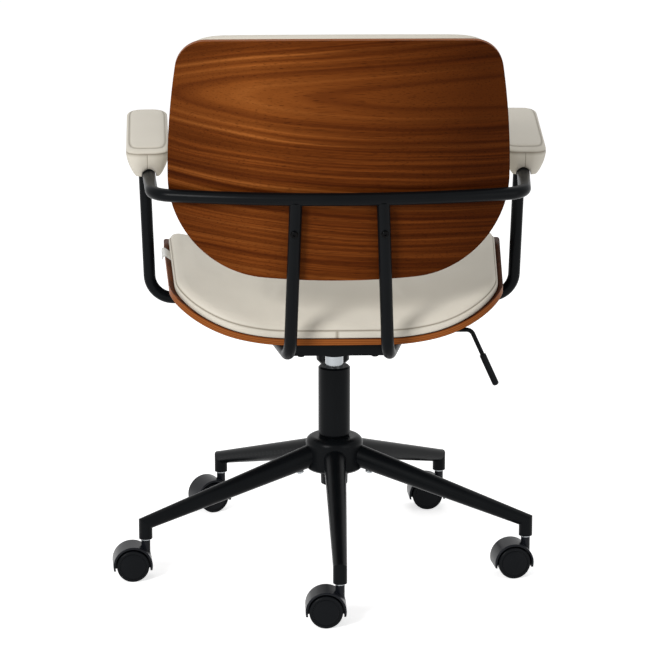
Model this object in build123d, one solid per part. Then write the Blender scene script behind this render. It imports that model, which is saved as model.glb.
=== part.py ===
"""Office chair: bent-ply seat and back on a tube frame, over a tilting gas column and a five-leg base."""

import os
from math import asin, atan2, copysign, cos, degrees, hypot, pi, radians, sin, sqrt, tan

from build123d import *

# Millimetres and degrees. X is the sitter's right, Y forward, Z up. The column stands on the origin.

# Fits
SLIDE_FIT = 0.05  # radial play of a turning or sliding fit
BOLT_FIT = 0.1  # radial play of a bolt in its hole
REST_GAP = 0.3  # room between curved pieces that rest on each other
WALL_GAP = 0.6  # room between plates that swing past each other

# Casters
CASTER_COUNT = 5
CASTER_TURNS = (180.0, 187.0, 183.0, 205.0, 185.0)  # way each caster trails, from +X
WHEEL_DIA = 50.0
WHEEL_WIDTH = 17.5
WHEEL_RIM = 5.5
WHEEL_HUB_DIA = 16.0
WHEEL_FACE = 5.0  # thickness of the wheel's closed outer face
WHEEL_EDGE = 2.5
WHEEL_GROOVE = 1.0  # groove between the tyre and the outer face
AXLE_DIA = 6.0
TRAIL = 21.0
HOOD_WIDTH = 42.0
HOOD_WALL = 3.0
HOOD_GAP = 2.5
HOOD_DROP = 7.0  # how far the hood's ends reach below the axle
HOOD_EDGE = 1.2
WEB_WIDTH = 14.0
PINTLE_DIA = 8.0
STEM_DIA = 11.0
STEM_LENGTH = 22.0
COLLAR_DIA = 15.0
COLLAR_HEIGHT = 2.0
STEM_CHAMFER = 1.0

# Base
STEM_RADIUS = 310.0  # column axis to caster stem
SOCKET_Z = 64.0  # underside of the caster sockets
LEG_TIP_DIA = 21.0
LEG_ROOT_DIA = 35.0
LEG_TIP_RISE = 24.0  # leg's centre line above the socket's underside
LEG_ROOT_Z = 168.0
LEG_WALL = 2.0
HUB_DIA = 90.0
HUB_BOTTOM_Z = 147.0
HUB_TOP_Z = 200.0
HUB_ROUND = 12.0  # rounding of the hub's shoulder
HUB_EDGE = 3.0
SPIGOT_LENGTH = 32.0
SPIGOT_FIT = 0.15
LEG_BOLT_DIA = 6.0
LEG_BOLT_OUT = 17.0  # from the hub's side to the leg bolt

# Gas column
COLUMN_DIA = 50.0
COLUMN_BOTTOM_Z = 122.0
COLUMN_TOP_Z = 310.5
COLUMN_WALL = 2.0
COLUMN_NECK = 4.0  # height of the step from the tube to its taper
TAPER_TOP_DIA = 46.0
TAPER_BOTTOM_DIA = 42.0
FLOOR_THICK = 3.0
BUSH_LENGTH = 80.0
BUSH_FLANGE = 2.5
CYLINDER_DIA = 28.0
CYLINDER_WALL = 2.0
CYLINDER_BOTTOM_Z = 142.0
CYLINDER_TOP_Z = 358.0
CYLINDER_NOSE = 32.0  # length of the cylinder's taper
CYLINDER_NOSE_DIA = 26.4
CYLINDER_GUIDE = 8.0
CYLINDER_CAP = 12.0
ROD_DIA = 10.0
ROD_BELOW = 10.0  # rod's end below the column's floor
ROD_COLLAR_DIA = 20.0
ROD_COLLAR = 3.0
PISTON_Z = 290.0
PISTON_THICK = 10.0
BEARING_DIA = 30.0
BEARING_WASHER = 1.5
BALL_DIA = 5.0
BALL_COUNT = 9
CLIP_THICK = 1.5
CLIP_DIA = 17.0
CLIP_MOUTH = 5.0
CLIP_GROOVE = 1.0  # depth of the clip's groove in the rod
PIN_DIA = 8.0

# Tilt mechanism
PIVOT_Y = 27.0
PIVOT_Z = 358.0
PIVOT_DIA = 10.0
PIVOT_HEAD_DIA = 16.0
HOUSING_HALF = 36.0
HOUSING_REAR_Y = -34.0
HOUSING_FRONT_Y = 106.0
HOUSING_FLOOR_Z = 344.0
HOUSING_TOP_Z = 376.0
HOUSING_REAR_TOP_Z = 367.5
HOUSING_SLOPE_Y = 8.0  # where the side walls start to fall to the rear
HOUSING_WALL = 3.0
SOCKET_BOSS_DIA = 38.0
SOCKET_BOSS_Z = 331.0
PLATE_THICK = 3.0
PLATE_HALF = 48.0
PLATE_REAR_Y = -92.0
PLATE_FRONT_Y = 96.0
PLATE_EDGE = 8.0
STRAP_WIDTH = 26.0
STRAP_OVER = 12.0  # strap's end beyond the tube's centre line
LUG_WIDTH = 28.0
TENSION_Y = 82.0
TENSION_BOLT_DIA = 8.0
TENSION_HEAD_DIA = 13.0
TENSION_HEAD = 5.0
TENSION_SWING = 5.0  # room for the bolt's swing in the housing's floor
TENSION_ROOM = 1.0  # room round the bolt in the housing's floor
KNOB_TOP_Z = 322.0
KNOB_BOTTOM_Z = 292.0
KNOB_TOP_DIA = 53.0
KNOB_BOTTOM_DIA = 35.0
KNOB_CUP_DIA = 33.0
KNOB_FLOOR = 10.0
KNOB_FLUTES = 8
KNOB_FLUTE_DIA = 14.0
KNOB_FLUTE_DEPTH = 2.5
SPRING_WIRE = 4.0
SPRING_DIA = 26.0  # to the middle of the wire
SPRING_TURNS = 5
LEVER_Z = 369.0
LEVER_DIA = 7.0
LEVER_INNER_X = -10.0
LEVER_BEND_X = 214.0
LEVER_BEND_RADIUS = 12.0
LEVER_DROP = 84.0
LEVER_OUT = 38.0
LEVER_HOLE_DIA = 9.0
GRIP_DIA = 10.5
GRIP_LENGTH = 54.0
GRIP_ROUND = 3.7
GRIP_WALL_END = 6.0  # closed end of the grip beyond the rod

# Frame
TUBE_DIA = 19.0
BEND = 38.0  # middle line of the tight bends
FOOT_BEND = 30.0  # uprights, where they turn under the seat
ARM_BEND = 45.0
UNDER_Z = 394.0  # middle of the tubes under the seat
UPRIGHT_X = 72.0
UPRIGHT_TOP_X = 63.0
UPRIGHT_Y = -258.0  # uprights where they pass the seat's rear edge
UPRIGHT_PASS_Z = 420.0
BACK_LEAN = 7.0
RAIL_Z = 637.0
RAIL_HALF = 228.0
ARM_REAR_X = 271.0
ARM_FRONT_X = 298.0
ARM_FRONT_Y = 118.0
ARM_FRONT_Z = 653.0
LEG_FOOT_X = 290.0
LEG_FOOT_Y = 122.0
RUN_JOINT_X = 205.0  # where the arm tube meets the tube under the seat
RUN_SPLAY = 10.5
BAR_DEPTH = 20.0
REAR_BAR_Y = -200.0
FRONT_BAR_Y = 112.0
BOLT_DIA = 6.0
BOLT_HEAD_DIA = 11.0
BOLT_HEAD = 3.5
HEX_KEY = 4.0
HEX_DEPTH = 2.0
SEAT_BOLT_X = 55.0
NUT_FLANGE_DIA = 18.0
NUT_FLANGE = 1.2
NUT_BARREL_DIA = 8.0
NUT_RECESS = 1.4

# Seat
PLY = 10.0
SEAT_REAR_Y = -223.0
SEAT_FRONT_Y = 238.0
SEAT_HALF_REAR = 246.0
SEAT_HALF_FRONT = 274.0
SEAT_REAR_CROWN = 9.0
SEAT_FRONT_CROWN = 14.0
SEAT_REAR_CORNER = 115.0
SEAT_FRONT_CORNER = 90.0
SEAT_FLAT = 70.0  # half width of the flat middle
SEAT_BEND = 330.0  # radius of the turned-up sides, to the underside
SEAT_REACH = 1.1  # how far the section's curve runs past the seat's edge
CUSHION_INSET = 2.0
CUSHION_EDGE = 16.0  # cushion's height at the rim of the shell
CUSHION_CROWN = 52.0  # cushion's height in the middle
CUSHION_ROUND = 8.0

# Back
BACK_BOTTOM_Z = 511.0
BACK_TOP_Z = 870.0
BACK_HALF_LOW = 240.0
BACK_HALF_TOP = 228.5
BACK_SIDE_BOW = 13.6
BACK_LOW_CROWN = 14.0
BACK_TOP_CROWN = 9.0
BACK_LOW_CORNER = 145.0
BACK_TOP_CORNER = 48.0
BACK_BEND = 850.0  # radius of the rear face
BACK_PAD = 44.0
BACK_PAD_EDGE = 26.0
BACK_PAD_ROUND = 10.0
BACK_PAD_OVER = 2.5  # pad's edge outside the shell's edge
BACK_BOLT_Z = 588.0

# Arm pads
PAD_REAR_Y = -140.0
PAD_FRONT_Y = 146.0
PAD_REAR_X = 281.0  # pad's middle at its rear end
PAD_FRONT_X = 292.0
PAD_WIDTH = 65.0
PAD_FOOT = 35.0
PAD_HEIGHT = 46.0
PAD_SHOULDER = 35.0  # height of the widest place
PAD_BELLY = 0.72  # share of the flare reached at half the shoulder's height
PAD_CROWN = 2.5
PAD_TOP_EDGE = 9.0
PAD_EDGE_FULL = 0.25  # how far the top edge's middle lies inside the shoulder, as a share of its width
PAD_EDGE_DROP = 2.0
PAD_END_ROUND = 26.0
PAD_END_SPREAD = 2.0  # the rounded ends' outline outside the pad's sides
PAD_SINK = 2.0  # pad's underside below the tube's middle
PAD_SCREW_IN = 60.0  # from each end of the pad to its screw
PAD_SCREW_DIA = 5.0
PAD_SCREW_BITE = 16.0

# Worked out
TUBE_R = TUBE_DIA / 2
AXLE_Z = WHEEL_DIA / 2
LEG_STEP = 360.0 / CASTER_COUNT
LEG_TURNS = [-90.0 + LEG_STEP * k for k in range(CASTER_COUNT)]
LEG_TIP_Z = SOCKET_Z + LEG_TIP_RISE
LEG_SLOPE = degrees(atan2(LEG_ROOT_Z - LEG_TIP_Z, STEM_RADIUS - HUB_DIA / 2))
PLATE_TOP_Z = UNDER_Z - TUBE_R
PLATE_BOTTOM_Z = PLATE_TOP_Z - PLATE_THICK
SHELL_Z = UNDER_Z + TUBE_R + REST_GAP  # seat shell's underside in the flat middle
POST_TOP_Z = SOCKET_Z - COLLAR_HEIGHT - REST_GAP
BEARING_Z = COLUMN_BOTTOM_Z + FLOOR_THICK
BALLS_Z = BEARING_Z + BEARING_WASHER
COLLAR_Z = BALLS_Z + BALL_DIA + BEARING_WASHER
BACK_FACE_Y = UPRIGHT_Y - (RAIL_Z - UPRIGHT_PASS_Z) * tan(radians(BACK_LEAN)) + (
    TUBE_R + REST_GAP
) / cos(radians(BACK_LEAN))
BACK_PLANE = Plane(
    origin=(0, BACK_FACE_Y, RAIL_Z),
    x_dir=(1, 0, 0),
    z_dir=(0, -cos(radians(BACK_LEAN)), -sin(radians(BACK_LEAN))),
)


def rod(dia, bottom, top, x=0.0, y=0.0):
    """Upright cylinder between two heights."""
    return Pos(x, y, bottom) * Cylinder(dia / 2, top - bottom, align=(Align.CENTER, Align.CENTER, Align.MIN))


def block(x0, x1, y0, y1, z0, z1):
    """Box between two corners."""
    middle = Pos((x0 + x1) / 2, (y0 + y1) / 2, (z0 + z1) / 2)
    return middle * Box(x1 - x0, y1 - y0, z1 - z0)


def turned(*points):
    """Solid turned about Z from corners given as radius and height."""
    outline = make_face(Polyline(*[(r, 0, z) for r, z in points], close=True))
    return revolve(outline, axis=Axis.Z)


def round_leg(piece, leg):
    """Piece built along +X, turned to the given leg."""
    return Rot(0, 0, LEG_TURNS[leg]) * piece


def mirrored(piece):
    """The left-hand twin of a right-hand piece."""
    return mirror(piece, about=Plane.YZ)


def bent_line(corners, bends):
    """Path through the corners, with an arc of its own radius at each inner one."""
    edges = []
    start = Vector(*corners[0])
    for before, here, after, bend in zip(corners, corners[1:], corners[2:], bends):
        corner = Vector(*here)
        back = (Vector(*before) - corner).normalized()
        on = (Vector(*after) - corner).normalized()
        half = radians(back.get_angle(on)) / 2
        first = corner + back * (bend / tan(half))
        last = corner + on * (bend / tan(half))
        middle = corner + (back + on).normalized() * (bend / sin(half) - bend)
        edges.append(Line(start, first))
        edges.append(ThreePointArc(first, middle, last))
        start = last
    edges.append(Line(start, Vector(*corners[-1])))
    return Wire([edge.edge() for edge in edges])


def tube(path, dia):
    """Round bar along a path."""
    return sweep(Plane(path @ 0, z_dir=path % 0) * Circle(dia / 2), path=path)


def cap_bolt(dia, length, head_dia, head):
    """Button-head bolt along +Z with the underside of its head on the origin."""
    shank = Cylinder(dia / 2, length, align=(Align.CENTER, Align.CENTER, Align.MIN))
    top = Pos(0, 0, -head) * Cylinder(head_dia / 2, head, align=(Align.CENTER, Align.CENTER, Align.MIN))
    top = fillet(top.faces().sort_by(Axis.Z)[0].edges(), head / 2)
    key = extrude(Pos(0, 0, -head) * RegularPolygon(HEX_KEY / 2, 6), HEX_DEPTH)
    return shank + top - key


def tee_nut():
    """Nut with a flange on the origin and its barrel along -Z."""
    flange = Cylinder(NUT_FLANGE_DIA / 2, NUT_FLANGE, align=(Align.CENTER, Align.CENTER, Align.MAX))
    barrel = Cylinder(NUT_BARREL_DIA / 2, PLY - NUT_RECESS, align=(Align.CENTER, Align.CENTER, Align.MAX))
    bore = Cylinder(BOLT_DIA / 2 + BOLT_FIT, 3 * PLY)
    return flange + barrel - bore


def tee_nut_hole():
    """Room in the ply for a nut, with its mouth on the origin."""
    recess = Cylinder(
        NUT_FLANGE_DIA / 2 + BOLT_FIT, NUT_RECESS, align=(Align.CENTER, Align.CENTER, Align.MAX)
    )
    bore = Cylinder(NUT_BARREL_DIA / 2 + BOLT_FIT, 3 * PLY)
    return recess + bore


def leaning_side(start, end, bow):
    """Side of an outline: straight, or bowed out from its middle."""
    if not bow:
        return Line(start, end)
    middle = (Vector(*start) + Vector(*end)) / 2
    return ThreePointArc(start, middle + Vector(copysign(bow, start[0]), 0), end)


def four_sided(low, high, half_low, half_high, low_crown, high_crown, low_corner, high_corner, bow=0.0):
    """Outline with bowed ends, leaning sides and rounded corners."""
    right_low = (half_low, low + low_crown)
    right_high = (half_high, high - high_crown)
    left_low = (-half_low, low + low_crown)
    left_high = (-half_high, high - high_crown)
    edges = [
        ThreePointArc(left_low, (0, low), right_low),
        leaning_side(right_low, right_high, bow),
        ThreePointArc(right_high, (0, high), left_high),
        leaning_side(left_high, left_low, bow),
    ]
    face = make_face(edges)
    face = fillet(face.vertices().sort_by(Axis.Y)[:2], low_corner)
    high_ends = [v for v in face.vertices() if hypot(abs(v.X) - half_high, v.Y - right_high[1]) < SLIDE_FIT]
    return fillet(high_ends, high_corner)


# Casters


def caster_place(leg):
    """Where a caster's frame stands: stem on Z, axle towards +X."""
    turn = radians(LEG_TURNS[leg])
    return Pos(STEM_RADIUS * cos(turn), STEM_RADIUS * sin(turn), 0) * Rot(0, 0, CASTER_TURNS[leg])


def caster_hood():
    """Hood over both wheels, with the web between them and the post for the stem."""
    inner = WHEEL_DIA / 2 + HOOD_GAP
    outer = inner + HOOD_WALL
    side = Plane(origin=(TRAIL, 0, AXLE_Z), x_dir=(1, 0, 0), z_dir=(0, -1, 0))
    above = Pos(0, (outer - HOOD_DROP) / 2) * Rectangle(2 * outer, outer + HOOD_DROP)
    arch = (Circle(outer) - Circle(inner)) & above
    hood = extrude(side * arch, HOOD_WIDTH / 2, both=True)
    rims = hood.edges().filter_by(GeomType.CIRCLE).filter_by(lambda e: abs(e.radius - outer) < SLIDE_FIT)
    hood = fillet(rims, HOOD_EDGE)
    web = extrude(side * (Circle(inner + HOOD_WALL / 2) & above), WEB_WIDTH / 2, both=True)
    post = rod(WEB_WIDTH, AXLE_Z - HOOD_DROP, POST_TOP_Z)
    axle_hole = side * Cylinder(AXLE_DIA / 2, 2 * HOOD_WIDTH)
    pintle_hole = rod(PINTLE_DIA + 2 * SLIDE_FIT, AXLE_Z, SOCKET_Z)
    return hood + web + post - axle_hole - pintle_hole


def caster_axle():
    """Axle through the web, ending inside both wheels."""
    reach = WEB_WIDTH / 2 + REST_GAP + WHEEL_WIDTH - WHEEL_FACE
    return Plane(origin=(TRAIL, 0, AXLE_Z), x_dir=(1, 0, 0), z_dir=(0, -1, 0)) * Cylinder(
        AXLE_DIA / 2, 2 * reach
    )


def caster_wheel(side):
    """Wheel with a tyre rim, a hollow inner side and a domed outer face."""
    radius = WHEEL_DIA / 2
    inner = WEB_WIDTH / 2 + WALL_GAP
    outer = inner + WHEEL_WIDTH
    face = outer - WHEEL_FACE
    shoulder = outer - WHEEL_EDGE
    groove = radius - WHEEL_RIM
    bore = AXLE_DIA / 2 + SLIDE_FIT
    dome = (groove**2 + WHEEL_EDGE**2) / (2 * WHEEL_EDGE)
    half_arc = asin(groove / dome) / 2
    edges = [
        Polyline(
            (0, 0, face + REST_GAP),
            (bore, 0, face + REST_GAP),
            (bore, 0, inner),
            (WHEEL_HUB_DIA / 2, 0, inner),
            (WHEEL_HUB_DIA / 2, 0, face),
            (groove, 0, face),
            (groove, 0, inner),
            (radius - WHEEL_GROOVE, 0, inner),
            (radius, 0, inner + WHEEL_GROOVE),
            (radius, 0, shoulder - WHEEL_EDGE),
        ),
        ThreePointArc(
            (radius, 0, shoulder - WHEEL_EDGE),
            (radius - WHEEL_EDGE * (1 - cos(pi / 4)), 0, shoulder - WHEEL_EDGE * (1 - sin(pi / 4))),
            (radius - WHEEL_EDGE, 0, shoulder),
        ),
        Polyline(
            (radius - WHEEL_EDGE, 0, shoulder),
            (groove + WHEEL_GROOVE, 0, shoulder),
            (groove + WHEEL_GROOVE, 0, shoulder - WHEEL_GROOVE),
            (groove, 0, shoulder - WHEEL_GROOVE),
            (groove, 0, shoulder),
        ),
        ThreePointArc(
            (groove, 0, shoulder),
            (dome * sin(half_arc), 0, outer - dome + dome * cos(half_arc)),
            (0, 0, outer),
        ),
        Line((0, 0, outer), (0, 0, face + REST_GAP)),
    ]
    wheel = revolve(make_face(edges), axis=Axis.Z)
    return Pos(TRAIL, 0, AXLE_Z) * Rot(-90 * side, 0, 0) * wheel


def caster_stem():
    """Stem with its collar; the lower end is the pintle that the hood turns on."""
    top = SOCKET_Z + STEM_LENGTH
    foot = AXLE_Z + REST_GAP
    return turned(
        (0, foot),
        (PINTLE_DIA / 2, foot),
        (PINTLE_DIA / 2, SOCKET_Z - COLLAR_HEIGHT),
        (COLLAR_DIA / 2, SOCKET_Z - COLLAR_HEIGHT),
        (COLLAR_DIA / 2, SOCKET_Z),
        (STEM_DIA / 2, SOCKET_Z),
        (STEM_DIA / 2, top - STEM_CHAMFER),
        (STEM_DIA / 2 - STEM_CHAMFER, top),
        (0, top),
    )


# Base


def leg_axis(out):
    """Frame on a leg's centre line at a distance from the column, with Z along the leg."""
    height = LEG_ROOT_Z - (out - HUB_DIA / 2) * tan(radians(LEG_SLOPE))
    slope = radians(LEG_SLOPE)
    return Plane(origin=(out, 0, height), x_dir=(0, 1, 0), z_dir=(cos(slope), 0, -sin(slope)))


def leg_cone(wall, start, end):
    """Tapered bar on the leg's centre line, a wall's thickness inside the leg's skin."""
    run = STEM_RADIUS - HUB_DIA / 2
    thin = (LEG_ROOT_DIA - LEG_TIP_DIA) / 2 / run
    first = LEG_ROOT_DIA / 2 - thin * (start - HUB_DIA / 2) - wall
    last = LEG_ROOT_DIA / 2 - thin * (end - HUB_DIA / 2) - wall
    length = (end - start) / cos(radians(LEG_SLOPE))
    return leg_axis(start) * Cone(first, last, length, align=(Align.CENTER, Align.CENTER, Align.MIN))


def leg_bolt_place():
    """Frame of the leg bolt: its head's seat under the leg, with Z up into the hub's spigot."""
    out = HUB_DIA / 2 + LEG_BOLT_OUT
    middle = leg_axis(out)
    slope = radians(LEG_SLOPE)
    up = Vector(sin(slope), 0, cos(slope))
    seat = middle.origin - up * (LEG_ROOT_DIA / 2)
    return Plane(origin=seat, x_dir=(0, 1, 0), z_dir=up)


def mitre_plane():
    """Plane on which a leg meets its caster socket, with Z towards the socket."""
    slope = radians(LEG_SLOPE)
    way = (cos(slope), 0, -sin(slope) - 1)
    return Plane(origin=(STEM_RADIUS, 0, LEG_TIP_Z), x_dir=(0, 1, 0), z_dir=way)


def base_leg():
    """Hollow tapered leg, open at the hub, mitred at its tip to the caster's upright socket."""
    leg = leg_cone(0, HUB_DIA / 4, STEM_RADIUS + LEG_TIP_DIA)
    leg = split(leg, bisect_by=mitre_plane(), keep=Keep.BOTTOM)
    socket = rod(LEG_TIP_DIA, SOCKET_Z, LEG_TIP_Z + LEG_TIP_DIA, STEM_RADIUS)
    socket = split(socket, bisect_by=mitre_plane(), keep=Keep.TOP)
    hollow = leg_cone(LEG_WALL, HUB_DIA / 4, STEM_RADIUS - LEG_TIP_DIA)
    hub_room = rod(HUB_DIA + 2 * BOLT_FIT, 0, 2 * HUB_TOP_Z)
    bore = rod(STEM_DIA + 2 * SLIDE_FIT, 0, SOCKET_Z + STEM_LENGTH + REST_GAP, STEM_RADIUS)
    bolt = leg_bolt_place() * Cylinder(LEG_BOLT_DIA / 2 + BOLT_FIT, LEG_ROOT_DIA)
    return leg - hollow - hub_room + socket - bore - bolt


def taper_dia(z):
    """Column's taper at a height."""
    slope = (TAPER_TOP_DIA - TAPER_BOTTOM_DIA) / (HUB_TOP_Z - COLUMN_BOTTOM_Z)
    return TAPER_BOTTOM_DIA + slope * (z - COLUMN_BOTTOM_Z)


def base_hub():
    """Hub with a round shoulder, a tapered bore and a spigot for each leg."""
    hub = turned(
        (taper_dia(HUB_BOTTOM_Z) / 2 + SLIDE_FIT, HUB_BOTTOM_Z),
        (HUB_DIA / 2 - HUB_EDGE, HUB_BOTTOM_Z),
        (HUB_DIA / 2, HUB_BOTTOM_Z + HUB_EDGE),
        (HUB_DIA / 2, HUB_TOP_Z),
        (taper_dia(HUB_TOP_Z) / 2 + SLIDE_FIT, HUB_TOP_Z),
    )
    hub = fillet(hub.edges().group_by(Axis.Z)[-1].sort_by(SortBy.LENGTH)[-1], HUB_ROUND)
    bolt = Cylinder(LEG_BOLT_DIA / 2 + BOLT_FIT, LEG_ROOT_DIA)
    bolt = leg_bolt_place() * Pos(0, 0, LEG_ROOT_DIA / 4) * bolt
    start = HUB_DIA / 2 - HUB_EDGE
    for leg in range(CASTER_COUNT):
        spigot = leg_cone(LEG_WALL + SPIGOT_FIT, start, HUB_DIA / 2 + SPIGOT_LENGTH)
        hub += round_leg(spigot - bolt, leg)
    return hub


def leg_bolts():
    """The bolt under each leg."""
    bolt = leg_bolt_place() * cap_bolt(LEG_BOLT_DIA, LEG_ROOT_DIA / 2, BOLT_HEAD_DIA, BOLT_HEAD)
    return Compound([round_leg(bolt, leg) for leg in range(CASTER_COUNT)])


# Gas column


def column_tube():
    """Outer tube: straight above the hub, tapered in it, with a floor for the rod."""
    step = HUB_TOP_Z + COLUMN_NECK
    low_wall = TAPER_BOTTOM_DIA / 2 - COLUMN_WALL
    return turned(
        (ROD_DIA / 2 + WALL_GAP, COLUMN_BOTTOM_Z),
        (taper_dia(COLUMN_BOTTOM_Z) / 2, COLUMN_BOTTOM_Z),
        (taper_dia(HUB_TOP_Z) / 2, HUB_TOP_Z),
        (COLUMN_DIA / 2, step),
        (COLUMN_DIA / 2, COLUMN_TOP_Z),
        (COLUMN_DIA / 2 - COLUMN_WALL, COLUMN_TOP_Z),
        (COLUMN_DIA / 2 - COLUMN_WALL, step + COLUMN_NECK),
        (low_wall, HUB_TOP_Z),
        (low_wall, COLUMN_BOTTOM_Z + FLOOR_THICK),
        (ROD_DIA / 2 + WALL_GAP, COLUMN_BOTTOM_Z + FLOOR_THICK),
    )


def column_bush():
    """Plastic sleeve that guides the gas cylinder, with a flange on the tube's end."""
    inside = CYLINDER_DIA / 2 + SLIDE_FIT
    outside = COLUMN_DIA / 2 - COLUMN_WALL - SLIDE_FIT
    return turned(
        (inside, COLUMN_TOP_Z - BUSH_LENGTH),
        (outside, COLUMN_TOP_Z - BUSH_LENGTH),
        (outside, COLUMN_TOP_Z),
        (COLUMN_DIA / 2, COLUMN_TOP_Z),
        (COLUMN_DIA / 2 - BUSH_FLANGE, COLUMN_TOP_Z + BUSH_FLANGE),
        (inside, COLUMN_TOP_Z + BUSH_FLANGE),
    )


def washer(inner_dia, outer_dia, bottom, thick):
    """Flat ring."""
    return rod(outer_dia, bottom, bottom + thick) - rod(inner_dia, bottom - thick, bottom + 2 * thick)


def thrust_bearing():
    """Two washers with balls between them, on the column's floor."""
    hole = ROD_DIA + 2 * WALL_GAP
    ball_ring = (hole + BEARING_DIA) / 4
    pieces = [
        washer(hole, BEARING_DIA, BEARING_Z, BEARING_WASHER),
        washer(hole, BEARING_DIA, BALLS_Z + BALL_DIA, BEARING_WASHER),
    ]
    for k in range(BALL_COUNT):
        turn = 2 * pi * k / BALL_COUNT
        ball = Sphere(BALL_DIA / 2 - SLIDE_FIT)
        pieces.append(Pos(ball_ring * cos(turn), ball_ring * sin(turn), BALLS_Z + BALL_DIA / 2) * ball)
    return Compound(pieces)


def piston_rod():
    """Rod that stands on the bearing, with the piston at its top and a groove for the clip."""
    bottom = COLUMN_BOTTOM_Z - ROD_BELOW
    groove = COLUMN_BOTTOM_Z - ROD_BELOW / 2
    depth = ROD_DIA / 2 - CLIP_GROOVE
    collar = COLLAR_Z + SLIDE_FIT
    piston = CYLINDER_DIA / 2 - CYLINDER_WALL - SLIDE_FIT
    return turned(
        (0, bottom),
        (ROD_DIA / 2, bottom),
        (ROD_DIA / 2, groove - CLIP_THICK / 2 - SLIDE_FIT),
        (depth, groove - CLIP_THICK / 2 - SLIDE_FIT),
        (depth, groove + CLIP_THICK / 2 + SLIDE_FIT),
        (ROD_DIA / 2, groove + CLIP_THICK / 2 + SLIDE_FIT),
        (ROD_DIA / 2, collar),
        (ROD_COLLAR_DIA / 2, collar),
        (ROD_COLLAR_DIA / 2, collar + ROD_COLLAR),
        (ROD_DIA / 2, collar + ROD_COLLAR),
        (ROD_DIA / 2, PISTON_Z),
        (piston, PISTON_Z),
        (piston, PISTON_Z + PISTON_THICK),
        (0, PISTON_Z + PISTON_THICK),
    )


def column_clip():
    """Spring clip in the rod's groove under the column."""
    middle = COLUMN_BOTTOM_Z - ROD_BELOW / 2
    ring = washer(ROD_DIA - 2 * CLIP_GROOVE + 2 * BOLT_FIT, CLIP_DIA, middle - CLIP_THICK / 2, CLIP_THICK)
    mouth = block(0, CLIP_DIA, -CLIP_MOUTH / 2, CLIP_MOUTH / 2, 0, COLUMN_TOP_Z)
    return ring - mouth


def gas_cylinder():
    """Chrome pressure tube: guide at the bottom, tapered nose at the top."""
    inside = CYLINDER_DIA / 2 - CYLINDER_WALL
    guide = ROD_DIA / 2 + SLIDE_FIT
    pin = PIN_DIA / 2 + SLIDE_FIT
    return turned(
        (guide, CYLINDER_BOTTOM_Z),
        (CYLINDER_DIA / 2, CYLINDER_BOTTOM_Z),
        (CYLINDER_DIA / 2, CYLINDER_TOP_Z - CYLINDER_NOSE),
        (CYLINDER_NOSE_DIA / 2, CYLINDER_TOP_Z),
        (pin, CYLINDER_TOP_Z),
        (pin, CYLINDER_TOP_Z - CYLINDER_CAP),
        (inside - CYLINDER_WALL / 2, CYLINDER_TOP_Z - CYLINDER_CAP),
        (inside, CYLINDER_TOP_Z - CYLINDER_NOSE),
        (inside, CYLINDER_BOTTOM_Z + CYLINDER_GUIDE),
        (guide, CYLINDER_BOTTOM_Z + CYLINDER_GUIDE),
    )


def release_pin():
    """Pin on top of the gas cylinder that the lever presses."""
    return rod(PIN_DIA, CYLINDER_TOP_Z - CYLINDER_CAP, LEVER_Z - LEVER_DIA / 2 - REST_GAP)


# Tilt mechanism


def tilt_housing():
    """Open steel cradle with the socket for the gas cylinder."""
    side = make_face(
        Polyline(
            (HOUSING_REAR_Y, HOUSING_FLOOR_Z),
            (HOUSING_FRONT_Y, HOUSING_FLOOR_Z),
            (HOUSING_FRONT_Y, HOUSING_TOP_Z),
            (HOUSING_SLOPE_Y, HOUSING_TOP_Z),
            (HOUSING_REAR_Y, HOUSING_REAR_TOP_Z),
            close=True,
        )
    )
    body = extrude(Plane.YZ * side, HOUSING_HALF, both=True)
    ends = body.edges().filter_by(Axis.Z)
    body = fillet(ends, 2 * HOUSING_WALL)
    room = HOUSING_HALF - HOUSING_WALL
    inside = block(
        -room,
        room,
        HOUSING_REAR_Y + HOUSING_WALL,
        HOUSING_FRONT_Y - HOUSING_WALL,
        HOUSING_FLOOR_Z + HOUSING_WALL,
        2 * HOUSING_TOP_Z,
    )
    boss = rod(SOCKET_BOSS_DIA, SOCKET_BOSS_Z, CYLINDER_TOP_Z)
    nose_bottom = CYLINDER_TOP_Z - CYLINDER_NOSE
    nose = Pos(0, 0, nose_bottom) * Cone(
        CYLINDER_DIA / 2 + SLIDE_FIT,
        CYLINDER_NOSE_DIA / 2 + SLIDE_FIT,
        CYLINDER_NOSE,
        align=(Align.CENTER, Align.CENTER, Align.MIN),
    )
    pivot = Pos(0, PIVOT_Y, PIVOT_Z) * Rot(0, 90, 0) * Cylinder(PIVOT_DIA / 2 + SLIDE_FIT, 4 * HOUSING_HALF)
    lever = Pos(HOUSING_HALF, 0, LEVER_Z) * Rot(0, 90, 0) * Cylinder(LEVER_HOLE_DIA / 2, HOUSING_HALF)
    bolt_half = TENSION_BOLT_DIA / 2 + TENSION_ROOM
    slot = block(
        -bolt_half,
        bolt_half,
        TENSION_Y - bolt_half,
        TENSION_Y + bolt_half + TENSION_SWING,
        0,
        HOUSING_TOP_Z,
    )
    return body - inside + boss - nose - pivot - lever - slot


def tilt_pin():
    """Pivot pin through the housing and the plate's lugs, with a head at each end."""
    reach = HOUSING_HALF + WALL_GAP + PLATE_THICK + WALL_GAP
    pin = Cylinder(PIVOT_DIA / 2, 2 * reach)
    for side in (-1, 1):
        pin += Pos(0, 0, side * (reach + PLATE_THICK / 2)) * Cylinder(PIVOT_HEAD_DIA / 2, PLATE_THICK)
    return Pos(0, PIVOT_Y, PIVOT_Z) * Rot(0, 90, 0) * pin


def foot_y():
    """Where the uprights' middle line would meet the tubes under the seat."""
    return rail_y(UPRIGHT_X) + (RAIL_Z - UNDER_Z) * tan(radians(BACK_LEAN))


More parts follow.
